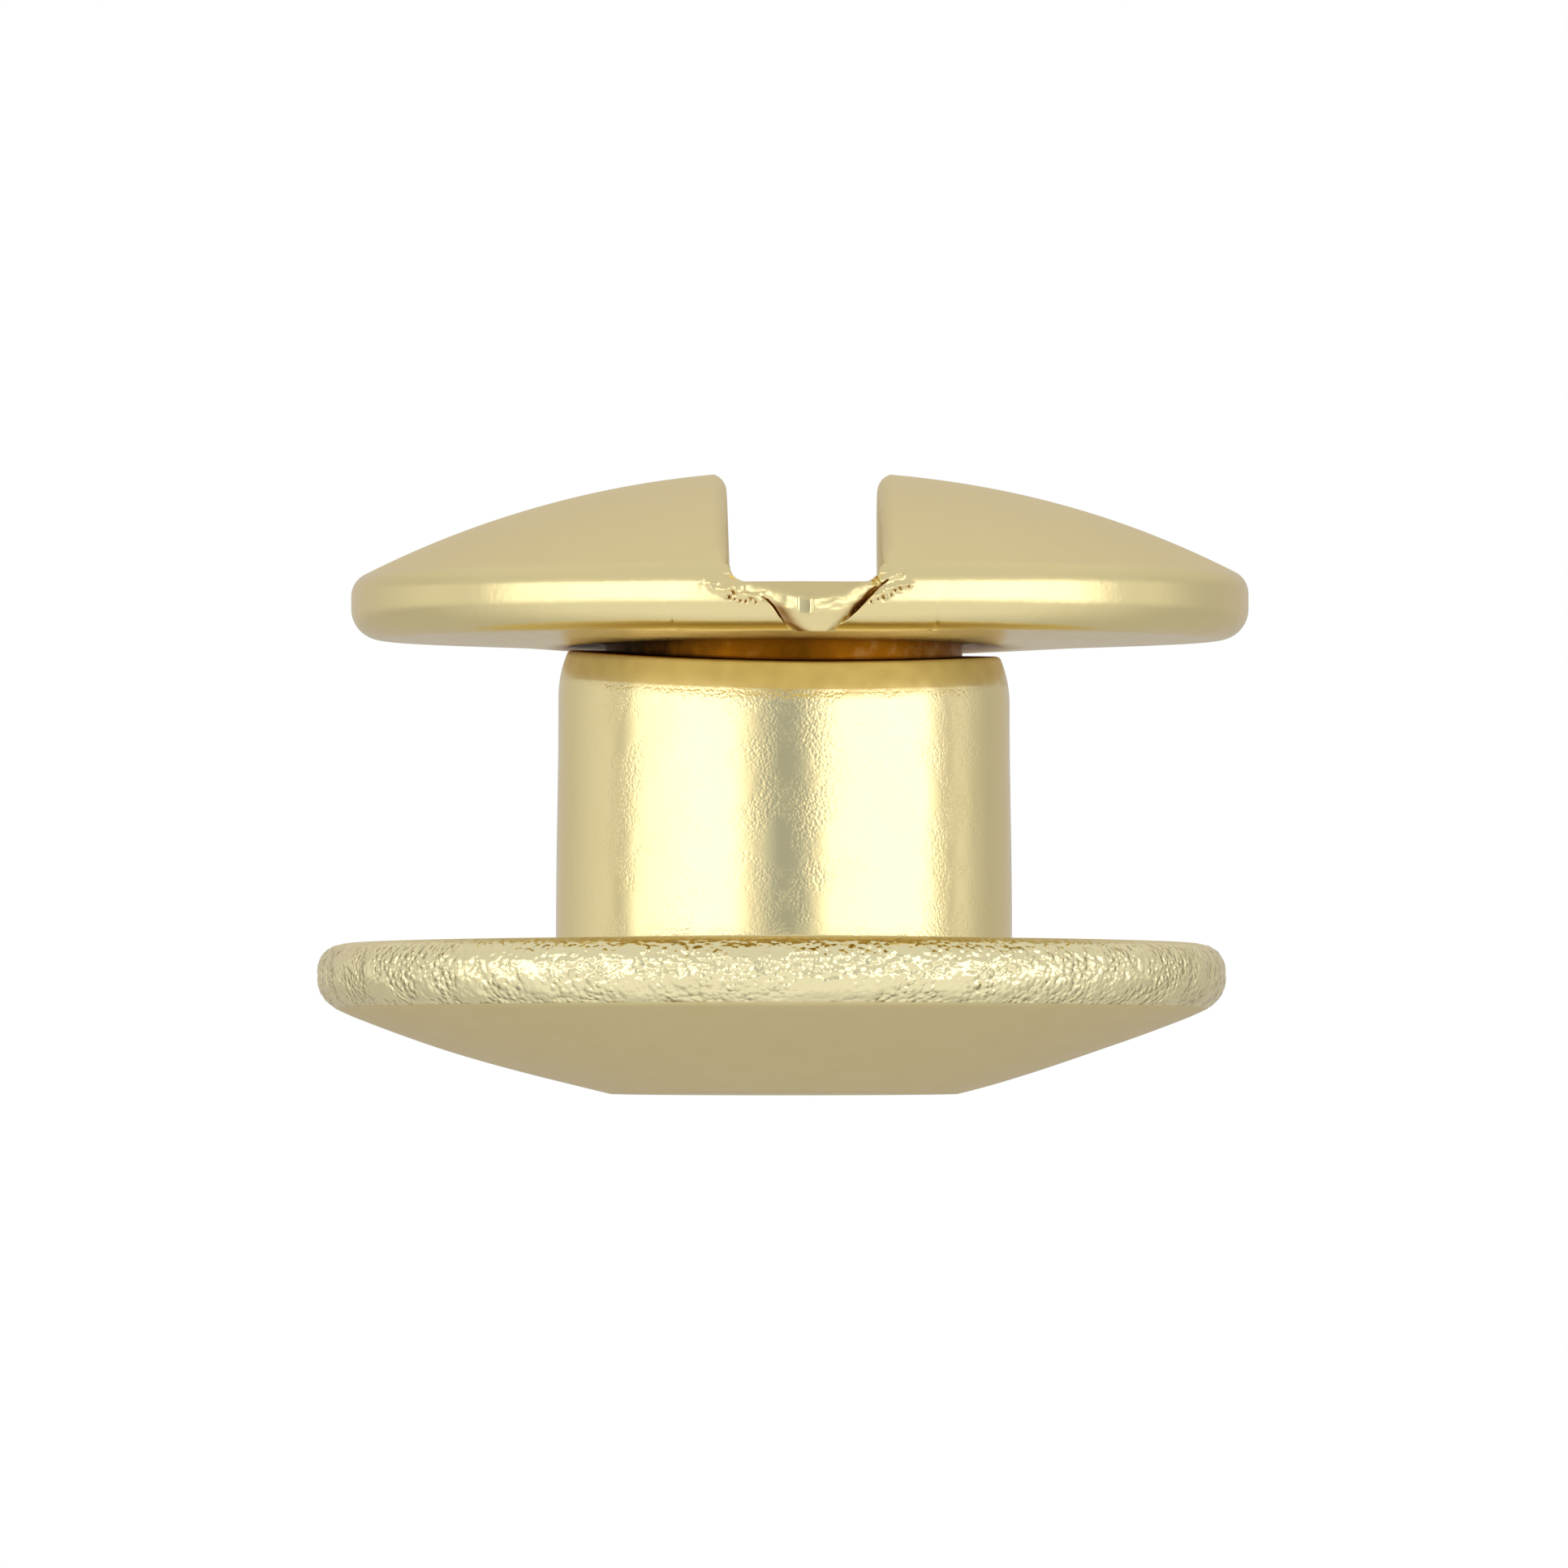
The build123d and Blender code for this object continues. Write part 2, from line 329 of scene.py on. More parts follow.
def noise_node(tree, coords, per_mm, detail=3.0, roughness=0.5):
    """A noise with that many features to the millimetre."""
    node = add_node(
        tree, "ShaderNodeTexNoise", Vector=coords, Scale=per_mm, Detail=detail, Roughness=roughness
    )
    return node.outputs["Fac"]


def bubbly_node(tree, coords, per_mm):
    """A grain of small round bubbles, that many to the millimetre, 0 in their middles."""
    node = add_node(
        tree, "ShaderNodeTexVoronoi", feature="SMOOTH_F1", Vector=coords, Scale=per_mm,
        Smoothness=0.35,
    )
    return node.outputs["Distance"]


def relief(tree, coords, surface, patches):
    """Height in millimetres of a surface's two grains, the fine one in patches."""
    roughness, broad, broad_height, fine, fine_height = surface
    broad_part = math_node(tree, "MULTIPLY", noise_node(tree, coords, broad), broad_height)
    fine_part = math_node(tree, "MULTIPLY", bubbly_node(tree, coords, fine), -fine_height)
    return math_node(tree, "ADD", broad_part, math_node(tree, "MULTIPLY", fine_part, patches))


def painted(tree, name):
    """The value of an attribute painted on the mesh."""
    return add_node(tree, "ShaderNodeAttribute", attribute_name=name).outputs["Fac"]


print("plating from", PLATE[:3], "to", PLATE_DEEP[:3])

# %% [markdown]
# One builder makes each material: a metallic base whose colour drifts a little, a roughness that
# drifts with it, and two grains of bump, a broad one and a fine bubbly one, which comes and goes
# in patches. The attribute for patina and painted shade turns the plating brown up to 1, and black
# from there to 2.

# %% Plated brass
DRIFT_PER_MM = 0.9
BLOTCHES_PER_MM = 6.0
STREAKS_PER_MM = 3.0
PATCHES_PER_MM = 2.2


def plated_brass(name, first, second, light=PLATE, deep=PLATE_DEEP):
    """Brass whose surface goes from first to second with the mesh's finish attribute.

    A surface is (roughness, broad grain per mm, its height, fine grain per mm, its height).
    """
    material = bpy.data.materials.new(name)
    material.use_nodes = True
    tree = material.node_tree
    shader = tree.nodes["Principled BSDF"]
    shader.inputs["Metallic"].default_value = 1.0
    shader.inputs["Specular Tint"].default_value = EDGE_TINT
    coords = millimetre_coords(tree)
    finish = painted(tree, "finish")
    plate = blend(tree, noise_node(tree, coords, DRIFT_PER_MM, 4.0, 0.6), light, deep)
    blotches = math_node(tree, "MULTIPLY", noise_node(tree, coords, BLOTCHES_PER_MM), 0.5)
    # the painted attribute browns the plating as patina and painted shade, and past 1 blackens it
    stain_and_shade = math_node(tree, "MULTIPLY", painted(tree, "patina_and_shade"), math_node(tree, "ADD", blotches, 0.8))
    browned = blend(tree, stain_and_shade, plate, PATINA_AND_SHADE)
    blackened = blend(tree, math_node(tree, "SUBTRACT", stain_and_shade, 1.0), browned, OIL_AND_SHADE_BLACK)
    feed(tree, shader.inputs["Base Color"], blackened)
    streaks = math_node(tree, "MULTIPLY", noise_node(tree, coords, STREAKS_PER_MM, 4.0), 0.5)
    level = blend(tree, finish, first[0], second[0], "FLOAT")
    roughness = math_node(tree, "MULTIPLY", level, math_node(tree, "ADD", streaks, 0.75))
    feed(tree, shader.inputs["Roughness"], roughness)
    patches = noise_node(tree, coords, PATCHES_PER_MM, 3.0)
    patches = ramp_node(tree, patches, ((0.40, 0.10), (0.56, 1.0)))
    grains = [relief(tree, coords, surface, patches) for surface in (first, second)]
    height = blend(tree, finish, *grains, "FLOAT")
    bump = add_node(tree, "ShaderNodeBump", Strength=1.0, Distance=MM, Height=height)
    feed(tree, shader.inputs["Normal"], bump.outputs["Normal"])
    return material


print("the fine grain comes in", PATCHES_PER_MM, "patches to the millimetre")

# %% [markdown]
# The domes are satin from tumbling, the barrel is bright with a fine orange peel, and the nut's
# rim is rough, its plating painted a little paler as a painted reflection of the bright floor below
# it. The lip is bright where the slot's tool burnished it. Each surface is five numbers, and each
# material goes between two.

# %% Surfaces and materials
# surface: roughness, broad grain per mm, its height in mm, fine grain per mm, its height in mm
SATIN = (0.36, 5.0, 0.0015, 22.0, 0.0005)
BRIGHT = (0.23, 4.0, 0.0030, 14.0, 0.0008)
PEELED = (0.11, 4.0, 0.0004, 30.0, 0.0026)
HAMMERED = (0.18, 7.0, 0.0080, 14.0, 0.0360)
satin_brass = plated_brass("satin_brass", SATIN, BRIGHT)
# painted reflection: the rim gets the paler plating for the bright floor that it mirrors
rim_brass = plated_brass("rim_brass", SATIN, HAMMERED, PALE_RIM_SHEEN, PALE_RIM_SHEEN_DEEP)
barrel_brass = plated_brass("barrel_brass", PEELED, BRIGHT)
screw_brass = plated_brass("head_brass", SATIN, BRIGHT)
lip_brass = plated_brass("lip_brass", BRIGHT, SATIN)
print("materials", [m.name for m in (satin_brass, rim_brass, barrel_brass, screw_brass, lip_brass)])

# %% [markdown]
# Both pieces are turned shapes, so each is drawn as half an outline and spun. The outline is
# drawn like a lathe tool's path, with two moves: a straight cut, which extrudes the last point,
# and a rounded cut, which spins it about a centre. Working in millimetres keeps the numbers
# readable, and the finished mesh is scaled to metres once.

# %% Drawing an outline
Y_AXIS = Vector((0, 1, 0))
Z_AXIS = Vector((0, 0, 1))


def start_outline(r, z):
    """A new bmesh with the outline's first point, in the XZ plane."""
    bm = bmesh.new()
    return bm, bm.verts.new((r, 0, z))


def cut_to(bm, vert, r, z, steps=1):
    """A straight cut from vert to a point, in equal steps. Gives the new last point."""
    start = vert.co.copy()
    end = Vector((r, 0, z))
    for step in range(1, steps + 1):
        vert = bmesh.ops.extrude_vert_indiv(bm, verts=[vert])["verts"][0]
        vert.co = start.lerp(end, step / steps)
    return vert


def only_verts(items):
    """The points among what an operator gives back."""
    return [item for item in items if isinstance(item, bmesh.types.BMVert)]


def spin(bm, geom, centre, axis, turn, steps, climb=(0, 0, 0)):
    """Spins geometry about an axis, with a climb at each step, and gives its last copy."""
    swept = bmesh.ops.spin(
        bm, geom=geom, cent=centre, axis=axis, dvec=climb, angle=turn, steps=steps,
        use_duplicate=False,
    )
    return swept["geom_last"]


def cut_round(bm, vert, centre_r, centre_z, turn, steps):
    """A rounded cut from vert about a centre, in degrees that go outwards over the top."""
    centre = (centre_r, 0, centre_z)
    return only_verts(spin(bm, [vert], centre, Y_AXIS, radians(turn), steps))[0]


def turn_outline(bm, segments, doublings=4):
    """Spins the outline through a slice, doubles the slice to a full turn, and closes its seams."""
    angle = 2 * pi / 2**doublings
    spin(bm, bm.verts[:] + bm.edges[:], (0, 0, 0), Z_AXIS, angle, segments // 2**doublings)
    for _ in range(doublings):
        copied = bmesh.ops.duplicate(bm, geom=bm.verts[:] + bm.edges[:] + bm.faces[:])["geom"]
        around = Matrix.Rotation(angle, 3, "Z")
        bmesh.ops.rotate(bm, verts=only_verts(copied), cent=(0, 0, 0), matrix=around)
        angle *= 2
    bmesh.ops.remove_doubles(bm, verts=bm.verts[:], dist=1e-5)
    bmesh.ops.recalc_face_normals(bm, faces=bm.faces[:])
    bm.normal_update()


print("outlines are cut in millimetres,", round(1 / MM), "to the metre")

# %% [markdown]
# Two soft curves do most of the small shaping later: a hump round a place, and a share that
# fades between two values. Each finished mesh is scaled to metres, gets smooth shading with its
# sharp edges kept, and can be painted with the attributes that the metals read.

# %% Shares, paint and finished pieces
def hump(distance, size):
    """1 at no distance, and a soft fall to 0 past the size."""
    return exp(-((distance / size) ** 2))


def fade(value, start, end):
    """0 before start, 1 after end, and a soft curve between. End may be below start."""
    share = min(1.0, max(0.0, (value - start) / (end - start)))
    return share * share * (3 - 2 * share)


def paint(piece, name, rule):
    """Writes a float attribute on a piece's points, from a rule on their place in millimetres."""
    layer = piece.data.attributes.new(name, "FLOAT", "POINT")
    for point, value in zip(piece.data.vertices, layer.data):
        value.value = rule(point.co / MM)


def finish_piece(bm, name, materials, sharp_degrees=38):
    """Scales the mesh to metres, gives it smooth shading with sharp edges, and links its object."""
    bmesh.ops.scale(bm, vec=(MM, MM, MM), verts=bm.verts[:])
    mesh = bpy.data.meshes.new(name)
    bm.to_mesh(mesh)
    bm.free()
    mesh.shade_smooth()
    mesh.set_sharp_from_angle(angle=radians(sharp_degrees))
    for material in materials:
        mesh.materials.append(material)
    print(name, len(mesh.vertices), "points", len(mesh.polygons), "faces")
    return put(name, mesh)

# %% [markdown]
# The barrel nut is headed from one slug: a thin domed head with a small flat in the middle of
# its dome, and a barrel that rises from the head's other side. A circle that is tangent to the
# dome and to the rim gives the rounded corner between them, and another softens the barrel's end.

# %% Nut sizes
SEGMENTS = 512
NUT_DOME = 11.0
FOOT_RADIUS = 1.92
NUT_DOME_CORNER = 0.36
NUT_SEAT_CORNER = 0.29
BASE_FILLET = 0.06
END_SWEEP = 1.3
END_LEAN = radians(22)
END_ROUND = 0.06
BAND_LEAN = radians(8)
MOUTH_BREAK = 0.05
BORE_FLOOR_Z = 1.4705
BORE_CONE = 0.3

nut_dome_z = sqrt(NUT_DOME**2 - FOOT_RADIUS**2)
nut_corner_r = NUT_RADIUS - NUT_DOME_CORNER
nut_corner_turn = asin(nut_corner_r / (NUT_DOME - NUT_DOME_CORNER))
nut_corner_z = nut_dome_z - (NUT_DOME - NUT_DOME_CORNER) * cos(nut_corner_turn)
nut_seat_r = NUT_RADIUS - NUT_SEAT_CORNER
nut_seat_z = CLAMP_Z - NUT_SEAT_CORNER
end_edge_r = BARREL_RADIUS - END_SWEEP + (END_SWEEP - END_ROUND) * cos(END_LEAN)
end_edge_z = BARREL_END_Z - END_ROUND
end_foot_z = end_edge_z - (END_SWEEP - END_ROUND) * sin(END_LEAN)
end_band_z = end_foot_z + END_SWEEP * sin(BAND_LEAN)
print("the nut's dome meets the rim at", round(nut_corner_z, 3))

# %% [markdown]
# The outline starts on the axis at the flat and goes out, up, in and up the barrel, over its
# softened end and down into the bore. The rim's cuts are a helper, as the rim is cut twice.

# %% Nut outline
def nut_rim(bm, vert, fineness=1):
    """The cuts round the nut's rim, from the dome to the seat face."""
    vert = cut_round(bm, vert, nut_corner_r, nut_corner_z, degrees(nut_corner_turn) - 90, 12 * fineness)
    vert = cut_to(bm, vert, NUT_RADIUS, nut_seat_z, 3 * fineness)
    return cut_round(bm, vert, nut_seat_r, nut_seat_z, -90, 12 * fineness)


bm, vert = start_outline(0, 0)
vert = cut_to(bm, vert, FOOT_RADIUS, 0, 3)
vert = cut_round(bm, vert, 0, nut_dome_z, -degrees(nut_corner_turn - asin(FOOT_RADIUS / NUT_DOME)), 30)
vert = nut_rim(bm, vert)
vert = cut_to(bm, vert, BARREL_RADIUS + BASE_FILLET, CLAMP_Z, 7)
vert = cut_round(bm, vert, BARREL_RADIUS + BASE_FILLET, CLAMP_Z + BASE_FILLET, 90, 4)
vert = cut_to(bm, vert, BARREL_RADIUS, end_foot_z, 8)
vert = cut_round(bm, vert, BARREL_RADIUS - END_SWEEP, end_foot_z, -degrees(END_LEAN), 14)
vert = cut_round(bm, vert, end_edge_r, end_edge_z, degrees(END_LEAN) - 90, 5)
vert = cut_to(bm, vert, MOUTH_RADIUS + MOUTH_BREAK, BARREL_END_Z, 2)
vert = cut_to(bm, vert, MOUTH_RADIUS, BARREL_END_Z - MOUTH_BREAK, 1)
vert = cut_to(bm, vert, MOUTH_RADIUS, BORE_FLOOR_Z, 3)
cut_to(bm, vert, 0, BORE_FLOOR_Z - BORE_CONE, 1)
print("nut outline has", len(bm.verts), "points")
turn_outline(bm, SEGMENTS)
nut_bm = bm

# %% [markdown]
# The spun nut is too perfect. On the real one the head sits a little off the barrel's axis, the
# barrel's end is cut slightly out of square and dips at the front, the dome is a little flatter
# than a ball between its foot and its rim, and the barrel tapers a hair. These are small moves of
# the points, each with a share that fades to nothing where it shouldn't act. The foot's flat was
# worn in the middle of the barrel, not of the head.

# %% Nut moves
BARREL_BASE_GROWTH = 0.018
BARREL_END_SHRINK = 0.008
END_MOVES_FROM = 3.2
FOOT_X = 0.0
RIM_UNDERLAY = 0.035
DOME_HOLLOW = 0.045


def end_drop(x, y):
    """How far the barrel's crooked end lies above its plain height at a point."""
    tilt = -x * tan(radians(END_TILT))
    reach = END_DIP_START + BARREL_RADIUS
    sweep = (reach**2 + END_DIP**2) / (2 * END_DIP)
    past = max(0.0, END_DIP_START - y)
    return tilt - (sweep - sqrt(sweep**2 - past**2))


def into_rim(r, z):
    """How far a point of the nut's rim lies from the nearer of the rim's two borders."""
    from_dome = r - NUT_DOME * sin(nut_corner_turn) if z < nut_corner_z else 1.0
    from_seat = r - nut_seat_r if z > nut_seat_z else 1.0
    return min(from_dome, from_seat)


def in_bore(x, y, z):
    """True on the bore's wall and floor."""
    return hypot(x, y) < MOUTH_RADIUS + 0.001 and z > BORE_FLOOR_Z - BORE_CONE - 0.01


def move_nut_head(vert):
    """Puts a point of the nut's head off the barrel's axis."""
    x, y, z = vert.co
    r = hypot(x, y)
    if z > CLAMP_Z - 0.001:
        vert.co.x += NUT_X * fade(r, BARREL_RADIUS + 0.1, 4.2)
    else:
        vert.co.x += FOOT_X + (NUT_X - FOOT_X) * fade(r, FOOT_RADIUS, 3.8)
        out = (r - FOOT_RADIUS) / (nut_corner_r - FOOT_RADIUS)
        if 0 < out < 1 and z < nut_corner_z:
            vert.co.z += DOME_HOLLOW * 4 * out * (1 - out)


print("the barrel's end dips by", round(-end_drop(0, -BARREL_RADIUS), 3), "in front")

# %% [markdown]
# The moves go over every point once. The head's own surface is first sunk a little at the rim,
# where the hammered band will lie over it, and the barrel's end gets its duller golden band.

# %% Move and paint the nut
nut_bm.normal_update()
for vert in nut_bm.verts:
    x, y, z = vert.co
    r = hypot(x, y)
    if z < CLAMP_Z + 0.001 and not in_bore(x, y, z):
        vert.co -= vert.normal * RIM_UNDERLAY * fade(into_rim(r, z), 0.0, 0.05)
        move_nut_head(vert)
    elif r > end_edge_r - 0.01 and z > CLAMP_Z:
        growth = BARREL_BASE_GROWTH * fade(z, 4.0, CLAMP_Z + 0.1)
        growth -= BARREL_END_SHRINK * fade(z, 2.5, end_foot_z)
        vert.co.x *= 1 + growth / BARREL_RADIUS
        vert.co.y *= 1 + growth / BARREL_RADIUS
    if z > END_MOVES_FROM:
        vert.co.z += end_drop(x, y) * fade(z, END_MOVES_FROM, end_foot_z)
print("nut moved, top at", round(max(v.co.z for v in nut_bm.verts), 3))
nut_skin = finish_piece(nut_bm, "nut_skin", [satin_brass, barrel_brass])
for face in nut_skin.data.polygons:
    centre = face.center / MM
    face.material_index = 1 if centre.z > CLAMP_Z + 0.005 or in_bore(*centre) else 0


def on_end_band(p):
    """1 on the dull golden band round the barrel's end, and 0 below it."""
    height = p.z - end_drop(p.x, p.y) + 0.012 * noise.noise(p * 7)
    return fade(height, end_band_z - 0.01, end_band_z + 0.02)


def nut_patina(p):
    """Brown in the bore, and a mottled trace of it on the band round the barrel's end."""
    if in_bore(*p):
        return 0.5
    return on_end_band(p) * max(0.0, 0.06 + 0.12 * noise.noise(p * 6))


paint(nut_skin, "finish", on_end_band)
paint(nut_skin, "patina_and_shade", nut_patina)

# %% [markdown]
# The nut's rim looks hammered: tumbling has left it covered in tiny dents with sharp ridges
# between them. A bump alone would leave the edge of the head smooth against the white, so the
# dents are real. The rim is a band of its own, spun far finer than the rest, whose edges tuck
# under the nut's skin. A cell pattern gives each point its distance to the nearest dent's middle,
# and the point is pushed in by it along its normal. Blender starts its noise vectors from the
# clock, so they get a seed first, and the dents then lie in the same places at every run.

# %% Hammered rim
BAND_SEGMENTS = 1440
DENT_PER_MM = 9.0
DENT_DEPTH = 0.011
SWELL_PER_MM = 1.3
SWELL_DEPTH = 0.008
TUCK = 0.004
NOISE_SEED = 7
noise.seed_set(NOISE_SEED)


def dent(point, per_mm):
    """0 in the middle of a dent and 1 on the ridges round it."""
    place = point * per_mm
    place = place + noise.noise_vector(place * 0.7) * 0.6
    near, second = noise.voronoi(place)[0][:2]
    return min(1.0, (second - near) * 1.5)


tuck_turn = nut_corner_turn - 0.004
bm, vert = start_outline(NUT_DOME * sin(tuck_turn), nut_dome_z - NUT_DOME * cos(tuck_turn))
vert = cut_to(
    bm, vert, NUT_DOME * sin(nut_corner_turn), nut_dome_z - NUT_DOME * cos(nut_corner_turn), 1
)
vert = nut_rim(bm, vert, 2)
cut_to(bm, vert, nut_seat_r - 0.04, CLAMP_Z, 1)
turn_outline(bm, BAND_SEGMENTS)
bm.normal_update()
for vert in bm.verts:
    x, y, z = vert.co
    inside = fade(into_rim(hypot(x, y), z), 0.0, 0.045)
    push = TUCK * (1 - inside) - 0.001
    push += inside * DENT_DEPTH * (1 - dent(vert.co, DENT_PER_MM))
    push += inside * SWELL_DEPTH * (0.5 + 0.5 * noise.noise(vert.co * SWELL_PER_MM))
    vert.co -= vert.normal * push
for vert in bm.verts:
    move_nut_head(vert)
rim_band = finish_piece(bm, "nut_rim_band", [rim_brass])
paint(rim_band, "finish", lambda p: 1 - 0.85 * fade(p.z, CLAMP_Z - 0.10, CLAMP_Z - 0.02))
print("dents", DENT_DEPTH, "mm deep and", DENT_PER_MM, "to the millimetre")

# %% [markdown]
# The screw's head is the nut's head the other way up, with a slightly dished underside and a
# relieved neck. Below the neck come the thread's core and its pointed end. It is spun as a blank
# first, because the slot is cut into it afterwards, as it is on the real part.

# %% Screw outline
SCREW_DOME = 10.6
SCREW_RIM = 0.639
SEAT_DISH = 0.09
SCREW_DOME_CORNER = 0.26
SCREW_SEAT_CORNER = 0.34
SEAT_RING = 2.45
RELIEF_Z = SEAT_Z + 0.07
NECK_END_Z = SEAT_Z - 0.27
THREAD_CREST = 1.985
THREAD_ROOT = 1.57
TIP_Z = 1.722
TIP_CHAMFER = 0.3
SLOT_FLOOR_Z = 5.450

seat_edge_z = SEAT_Z + SEAT_DISH
rim_top_z = seat_edge_z + SCREW_RIM
dome_z = rim_top_z - sqrt(SCREW_DOME**2 - SCREW_RADIUS**2)
corner_r = SCREW_RADIUS - SCREW_DOME_CORNER
corner_turn = asin(corner_r / (SCREW_DOME - SCREW_DOME_CORNER))
corner_z = dome_z + (SCREW_DOME - SCREW_DOME_CORNER) * cos(corner_turn)
seat_r = SCREW_RADIUS - SCREW_SEAT_CORNER
seat_z = seat_edge_z + SCREW_SEAT_CORNER
seat_start = SLOT_FLOOR_Z - seat_z
seat_end = seat_start + SCREW_SEAT_CORNER * pi / 2

bm, vert = start_outline(0, dome_z + SCREW_DOME)
vert = cut_round(bm, vert, 0, dome_z, degrees(corner_turn), 60)
vert = cut_round(bm, vert, corner_r, corner_z, 90 - degrees(corner_turn), 12)
vert = cut_to(bm, vert, SCREW_RADIUS, seat_z, 4)
vert = cut_round(bm, vert, seat_r, seat_z, 90, 14)
vert = cut_to(bm, vert, 4.2, seat_edge_z - SEAT_DISH * (seat_r - 4.2) / (seat_r - SEAT_RING), 8)
vert = cut_to(bm, vert, SEAT_RING, SEAT_Z, 8)
vert = cut_to(bm, vert, NECK_RADIUS + 0.16, RELIEF_Z, 4)
vert = cut_to(bm, vert, NECK_RADIUS, RELIEF_Z - 0.03, 2)
vert = cut_to(bm, vert, NECK_RADIUS, NECK_END_Z, 3)
vert = cut_to(bm, vert, THREAD_ROOT, NECK_END_Z - 0.2, 2)
vert = cut_to(bm, vert, THREAD_ROOT, TIP_Z + TIP_CHAMFER, 4)
vert = cut_to(bm, vert, THREAD_ROOT - TIP_CHAMFER, TIP_Z, 2)
cut_to(bm, vert, 0, TIP_Z, 1)
print("screw outline has", len(bm.verts), "points, dome top", round(dome_z + SCREW_DOME, 3))
turn_outline(bm, SEGMENTS)
screw_bm = bm

# %% [markdown]
# Four small moves make it the real screw. Its head lies off the barrel's axis, and it is not
# quite square to it, so that the front hangs lower and the dome's right side lies higher. Its rim
# sags a little more below the end of the slot, where the tool pressed hardest, and the same place
# is hollowed, to make room for the folded lip that is laid over it later.

# %% Screw moves
HEAD_TILT = tan(radians(0.8))
RIGHT_RISE = 0.03
SAG = 0.015
SAG_X = 0.2
LIP_LEFT = -1.25
LIP_RIGHT = 1.70
LIP_UP = -0.26
LIP_DOWN = 0.82
HOLLOW = 0.2


def below_floor(r, z):
    """How far a point of the rim lies below the slot's floor, along the surface."""
    if z >= corner_z:
        turn = atan2(z - corner_z, max(1e-6, r - corner_r))
        return SLOT_FLOOR_Z - corner_z - SCREW_DOME_CORNER * turn
    if z >= seat_z:
        return SLOT_FLOOR_Z - z
    if r >= seat_r:
        return seat_start + SCREW_SEAT_CORNER * atan2(seat_z - z, r - seat_r)
    return seat_end + seat_r - r


def rim_at(w):
    """Radius, height and upward turn of the rim's surface, that far below the slot's floor."""
    if w < SLOT_FLOOR_Z - corner_z:
        turn = (SLOT_FLOOR_Z - corner_z - w) / SCREW_DOME_CORNER
        return corner_r + SCREW_DOME_CORNER * cos(turn), corner_z + SCREW_DOME_CORNER * sin(turn), turn
    if w < seat_start:
        return SCREW_RADIUS, SLOT_FLOOR_Z - w, 0.0
    if w < seat_end:
        turn = (w - seat_start) / SCREW_SEAT_CORNER
        return seat_r + SCREW_SEAT_CORNER * cos(turn), seat_z - SCREW_SEAT_CORNER * sin(turn), -turn
    past = w - seat_end
    return seat_r - past, seat_edge_z - SEAT_DISH * past / (seat_r - SEAT_RING), -pi / 2


def settled(x, y, r, z):
    """How far the tilt and the sag move a point of the head up."""
    tilt = HEAD_TILT * y * (1 if z > seat_z else fade(r, SEAT_RING, 3.6))
    tilt += RIGHT_RISE * fade(x, 0.5, 4.0) * fade(z, corner_z - 0.1, corner_z + 0.1)
    side = fade(abs(x - SAG_X), 1.9, 0.7)
    return tilt - SAG * side * fade(z, 5.44, 5.33) * fade(r, 3.4, 4.6) * (y < 0)


def edge_distance(x, w):
    """Distance in from the lip's outer border, negative outside it."""
    return min(x - LIP_LEFT, LIP_RIGHT - x, w - LIP_UP, LIP_DOWN - w)


print("the head leans", round(degrees(atan2(HEAD_TILT, 1)), 2), "degrees to the front")

# %% [markdown]
# A place on the rim is told by how far it lies below the slot's floor, along the surface, so that
# the hollow for the lip runs evenly round the rim's corner and on under the head.

# %% Move the screw
for vert in screw_bm.verts:
    x, y, z = vert.co
    r = hypot(x, y)
    if z < SEAT_Z + 0.001 or r < SEAT_RING and z < RELIEF_Z + 0.001:
        continue
    shift = SCREW_X * (fade(r, SEAT_RING, 3.4) if z < seat_edge_z - 0.001 else 1)
    rise = settled(x + shift, y, r, z)
    if y < 0 and r > 4.0 and z < 5.8:
        w = below_floor(r, z)
        hollow = HOLLOW * fade(edge_distance(x + shift, w), 0.10, 0.22)
        turn = rim_at(w)[2]
        vert.co.x -= x / r * hollow * cos(turn)
        vert.co.y -= y / r * hollow * cos(turn)
        vert.co.z -= hollow * sin(turn)
    vert.co.x += shift
    vert.co.z += rise
screw_bm.normal_update()
print("screw moved, top at", round(max(v.co.z for v in screw_bm.verts), 3))
screw_skin = finish_piece(screw_bm, "screw_skin", [screw_brass])

# %% [markdown]
# The slot runs right across the head. Its cutter is an outline of the slot's section, with
# rounded floor corners and a slight lean, swept along the slot by a spin with no turn. The slot's
# edges are rolled over, tightly where it opens in the rim and wider on the dome. So each point of
# the cutter's sides is moved outwards by how near it lies to the head's surface, as a round edge
# would have it. The roll stops short of lying flat in the surface, which keeps the cut clean.

# %% Slot cutter
SLOT_LEFT = -0.607
SLOT_RIGHT = 1.058
SLOT_LEAN = 0.027
SLOT_CORNER = 0.19
DOME_ROLL = 0.20
MOUTH_ROLL = 0.10
ROLL_STOP = 0.034
CUTTER_REACH = 5.4
CUTTER_TOP = 7.3
MOUTH_Y = 4.86
ROWS = 44


def depth_inside(x, y, z):
    """Depth of a point inside the tilted head's dome and rim, negative outside."""
    r = hypot(x - SCREW_X, y)
    z = z - HEAD_TILT * y
    if z < corner_z:
        return SCREW_RADIUS - r
    turn = atan2(z - corner_z, r - corner_r)
    if r > corner_r and turn < pi / 2 - corner_turn:
        return SCREW_DOME_CORNER - hypot(r - corner_r, z - corner_z)
    return SCREW_DOME - hypot(r, z - dome_z)


def rolled(depth, roll):
    """How far a rolled edge stands back from a wall, at a depth below the surface."""
    stop = ROLL_STOP * roll
    reached = min(roll, max(stop, depth))
    back = roll - sqrt(roll**2 - (roll - reached) ** 2)
    slope = (roll - stop) / sqrt(roll**2 - (roll - stop) ** 2)
    return back + slope * max(0.0, min(stop - depth, 0.06))


